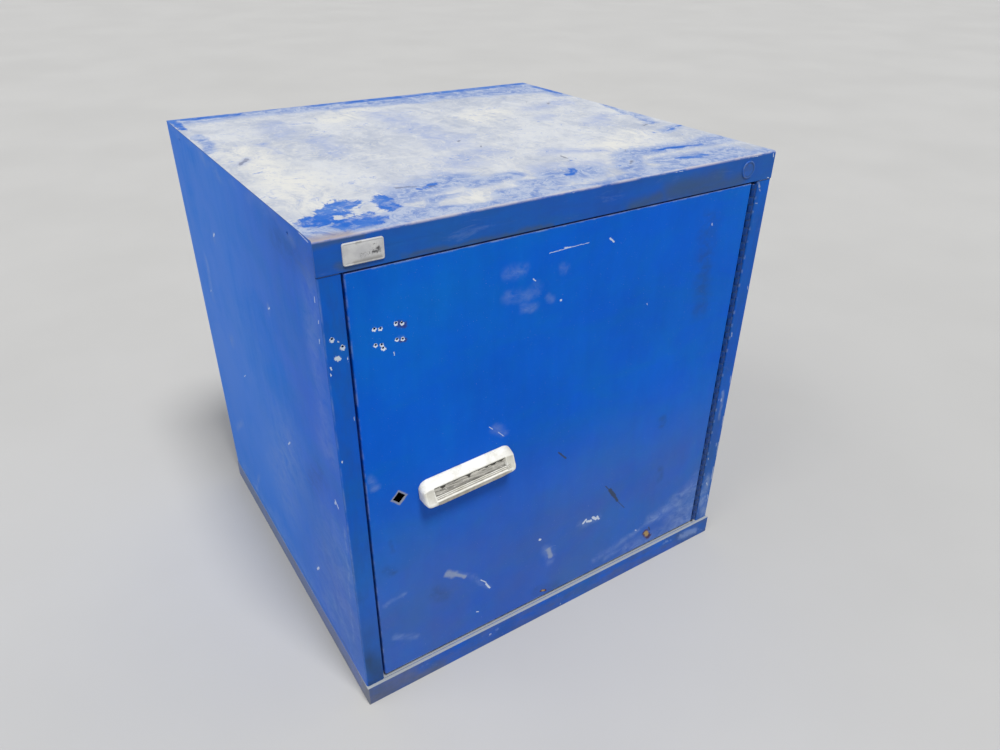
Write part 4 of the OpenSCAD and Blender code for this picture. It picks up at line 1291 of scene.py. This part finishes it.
# ---------------------------------------------------------------- CAD nodes: edges and materials


def soften_edges(node, width):
    """Small rounded edges on a sharp CAD solid, by modifiers only."""
    weld = node.modifiers.new("weld", "WELD")
    weld.merge_threshold = 0.00001
    bevel = node.modifiers.new("bevel", "BEVEL")
    bevel.width = width
    bevel.segments = 2
    bevel.limit_method = "ANGLE"
    bevel.angle_limit = math.radians(35)
    bevel.harden_normals = True


def dress(names, material, edge=0.0):
    for name in names:
        node = NODES[name]
        node.data.materials.clear()
        node.data.materials.append(material)
        if edge:
            soften_edges(node, edge)


def dress_cad_nodes():
    dress(["door_skin"], door_material(), 0.0004)
    dress(["side_panel_left"], left_side_material(), 0.0004)
    dress(["side_panel_right"], right_side_material(), 0.0004)
    dress(["top_panel"], top_material(), 0.0004)
    dress(["plinth", "floor_pan"], plinth_material(), 0.0004)
    inner = ["back_panel", "header_rail", "sill_stop"]
    inner += ["top_stiffener", "floor_stiffeners", "door_stiffener"]
    dress(inner, body_material(), 0.0003)
    hinge = [f"hinge_{part}_{side}" for side in ("frame", "door") for part in ("leaf", "rivets")]
    dress(hinge, hinge_material(), 0.00025)
    standards = [f"standard_{end}_{side}" for end in ("front", "rear") for side in ("left", "right")]
    dress(standards + ["shelf"], grey_paint_material(), 0.0003)
    zinc = ["plinth_bolts", "plinth_nuts", "nameplate_clips", "shelf_clips", "hinge_pin", "catch_screws"]
    dress(zinc + ["handle_screws", "strike_plate", "strike_rivets"], zinc_material(), 0.0002)
    dress(["door_bumpers"], rubber_material(), 0.0005)
    cream = plastic_material("catch_plastic", (0.70, 0.68, 0.62, 1), (0.50, 0.48, 0.42, 1), 60.0)
    dress(["catch_housing"], cream, 0.0003)
    dark = plastic_material("magnet_dark", (0.045, 0.045, 0.05, 1), (0.09, 0.085, 0.08, 1), 200.0)
    dress(["catch_magnet"], dark, 0.0002)


# ---------------------------------------------------------------- floor, light, camera


def build_floor():
    n, p = new_material("studio_floor")
    tone = n.smooth(n.noise(p, 1.2, 4.0, 0.6), 0.3, 0.7)
    colour = n.mix(tone, (0.45, 0.445, 0.435, 1), (0.47, 0.465, 0.455, 1))
    rough = n.plus(n.times(tone, 0.1), 0.7)
    material = finish_surface(n, colour, rough)
    size = 30.0
    mesh = bpy.data.meshes.new("studio_floor")
    corners = [(-size, -size, 0), (size, -size, 0), (size, size, 0), (-size, size, 0)]
    mesh.from_pydata(corners, [], [(0, 1, 2, 3)])
    floor = bpy.data.objects.new("studio_floor", mesh)
    mesh.materials.append(material)
    bpy.context.scene.collection.objects.link(floor)


def add_soft_sun(name, place, strength, spread, colour):
    """Even soft light from the direction of place."""
    data = bpy.data.lights.new(name, "SUN")
    data.energy = strength
    data.angle = math.radians(spread)
    data.color = colour
    light = bpy.data.objects.new(name, data)
    light.location = place
    light.rotation_euler = Vector(place).to_track_quat("Z", "Y").to_euler()
    bpy.context.scene.collection.objects.link(light)


def build_light():
    world = bpy.data.worlds.new("studio_world")
    world.use_nodes = True
    background = world.node_tree.nodes["Background"]
    background.inputs["Color"].default_value = (0.92, 0.95, 1.0, 1)
    background.inputs["Strength"].default_value = 0.42
    bpy.context.scene.world = world
    add_soft_sun("ceiling_light", (0.08, -1.0, 2.1), 2.7, 16.0, (1.0, 0.995, 0.98))
    add_soft_sun("side_light", (-1.0, 0.1, 0.55), 1.15, 60.0, (1.0, 1.0, 1.0))


def build_camera():
    data = bpy.data.cameras.new("photo_camera")
    data.sensor_width = 36.0
    data.lens = 27.06
    camera = bpy.data.objects.new("photo_camera", data)
    camera.location = (-0.6347, -1.1168, 1.0819)
    aim = Euler((math.radians(59.34), 0, math.radians(-33.27)), "XYZ").to_matrix()
    roll = Matrix.Rotation(math.radians(0.56), 3, "Z")
    camera.rotation_euler = (aim @ roll).to_euler()
    bpy.context.scene.collection.objects.link(camera)
    bpy.context.scene.camera = camera


bpy.context.scene.view_settings.view_transform = "Standard"
build_camera()
build_light()
build_floor()
dress_cad_nodes()
build_pull()
build_label()
build_nameplate()
build_plug()
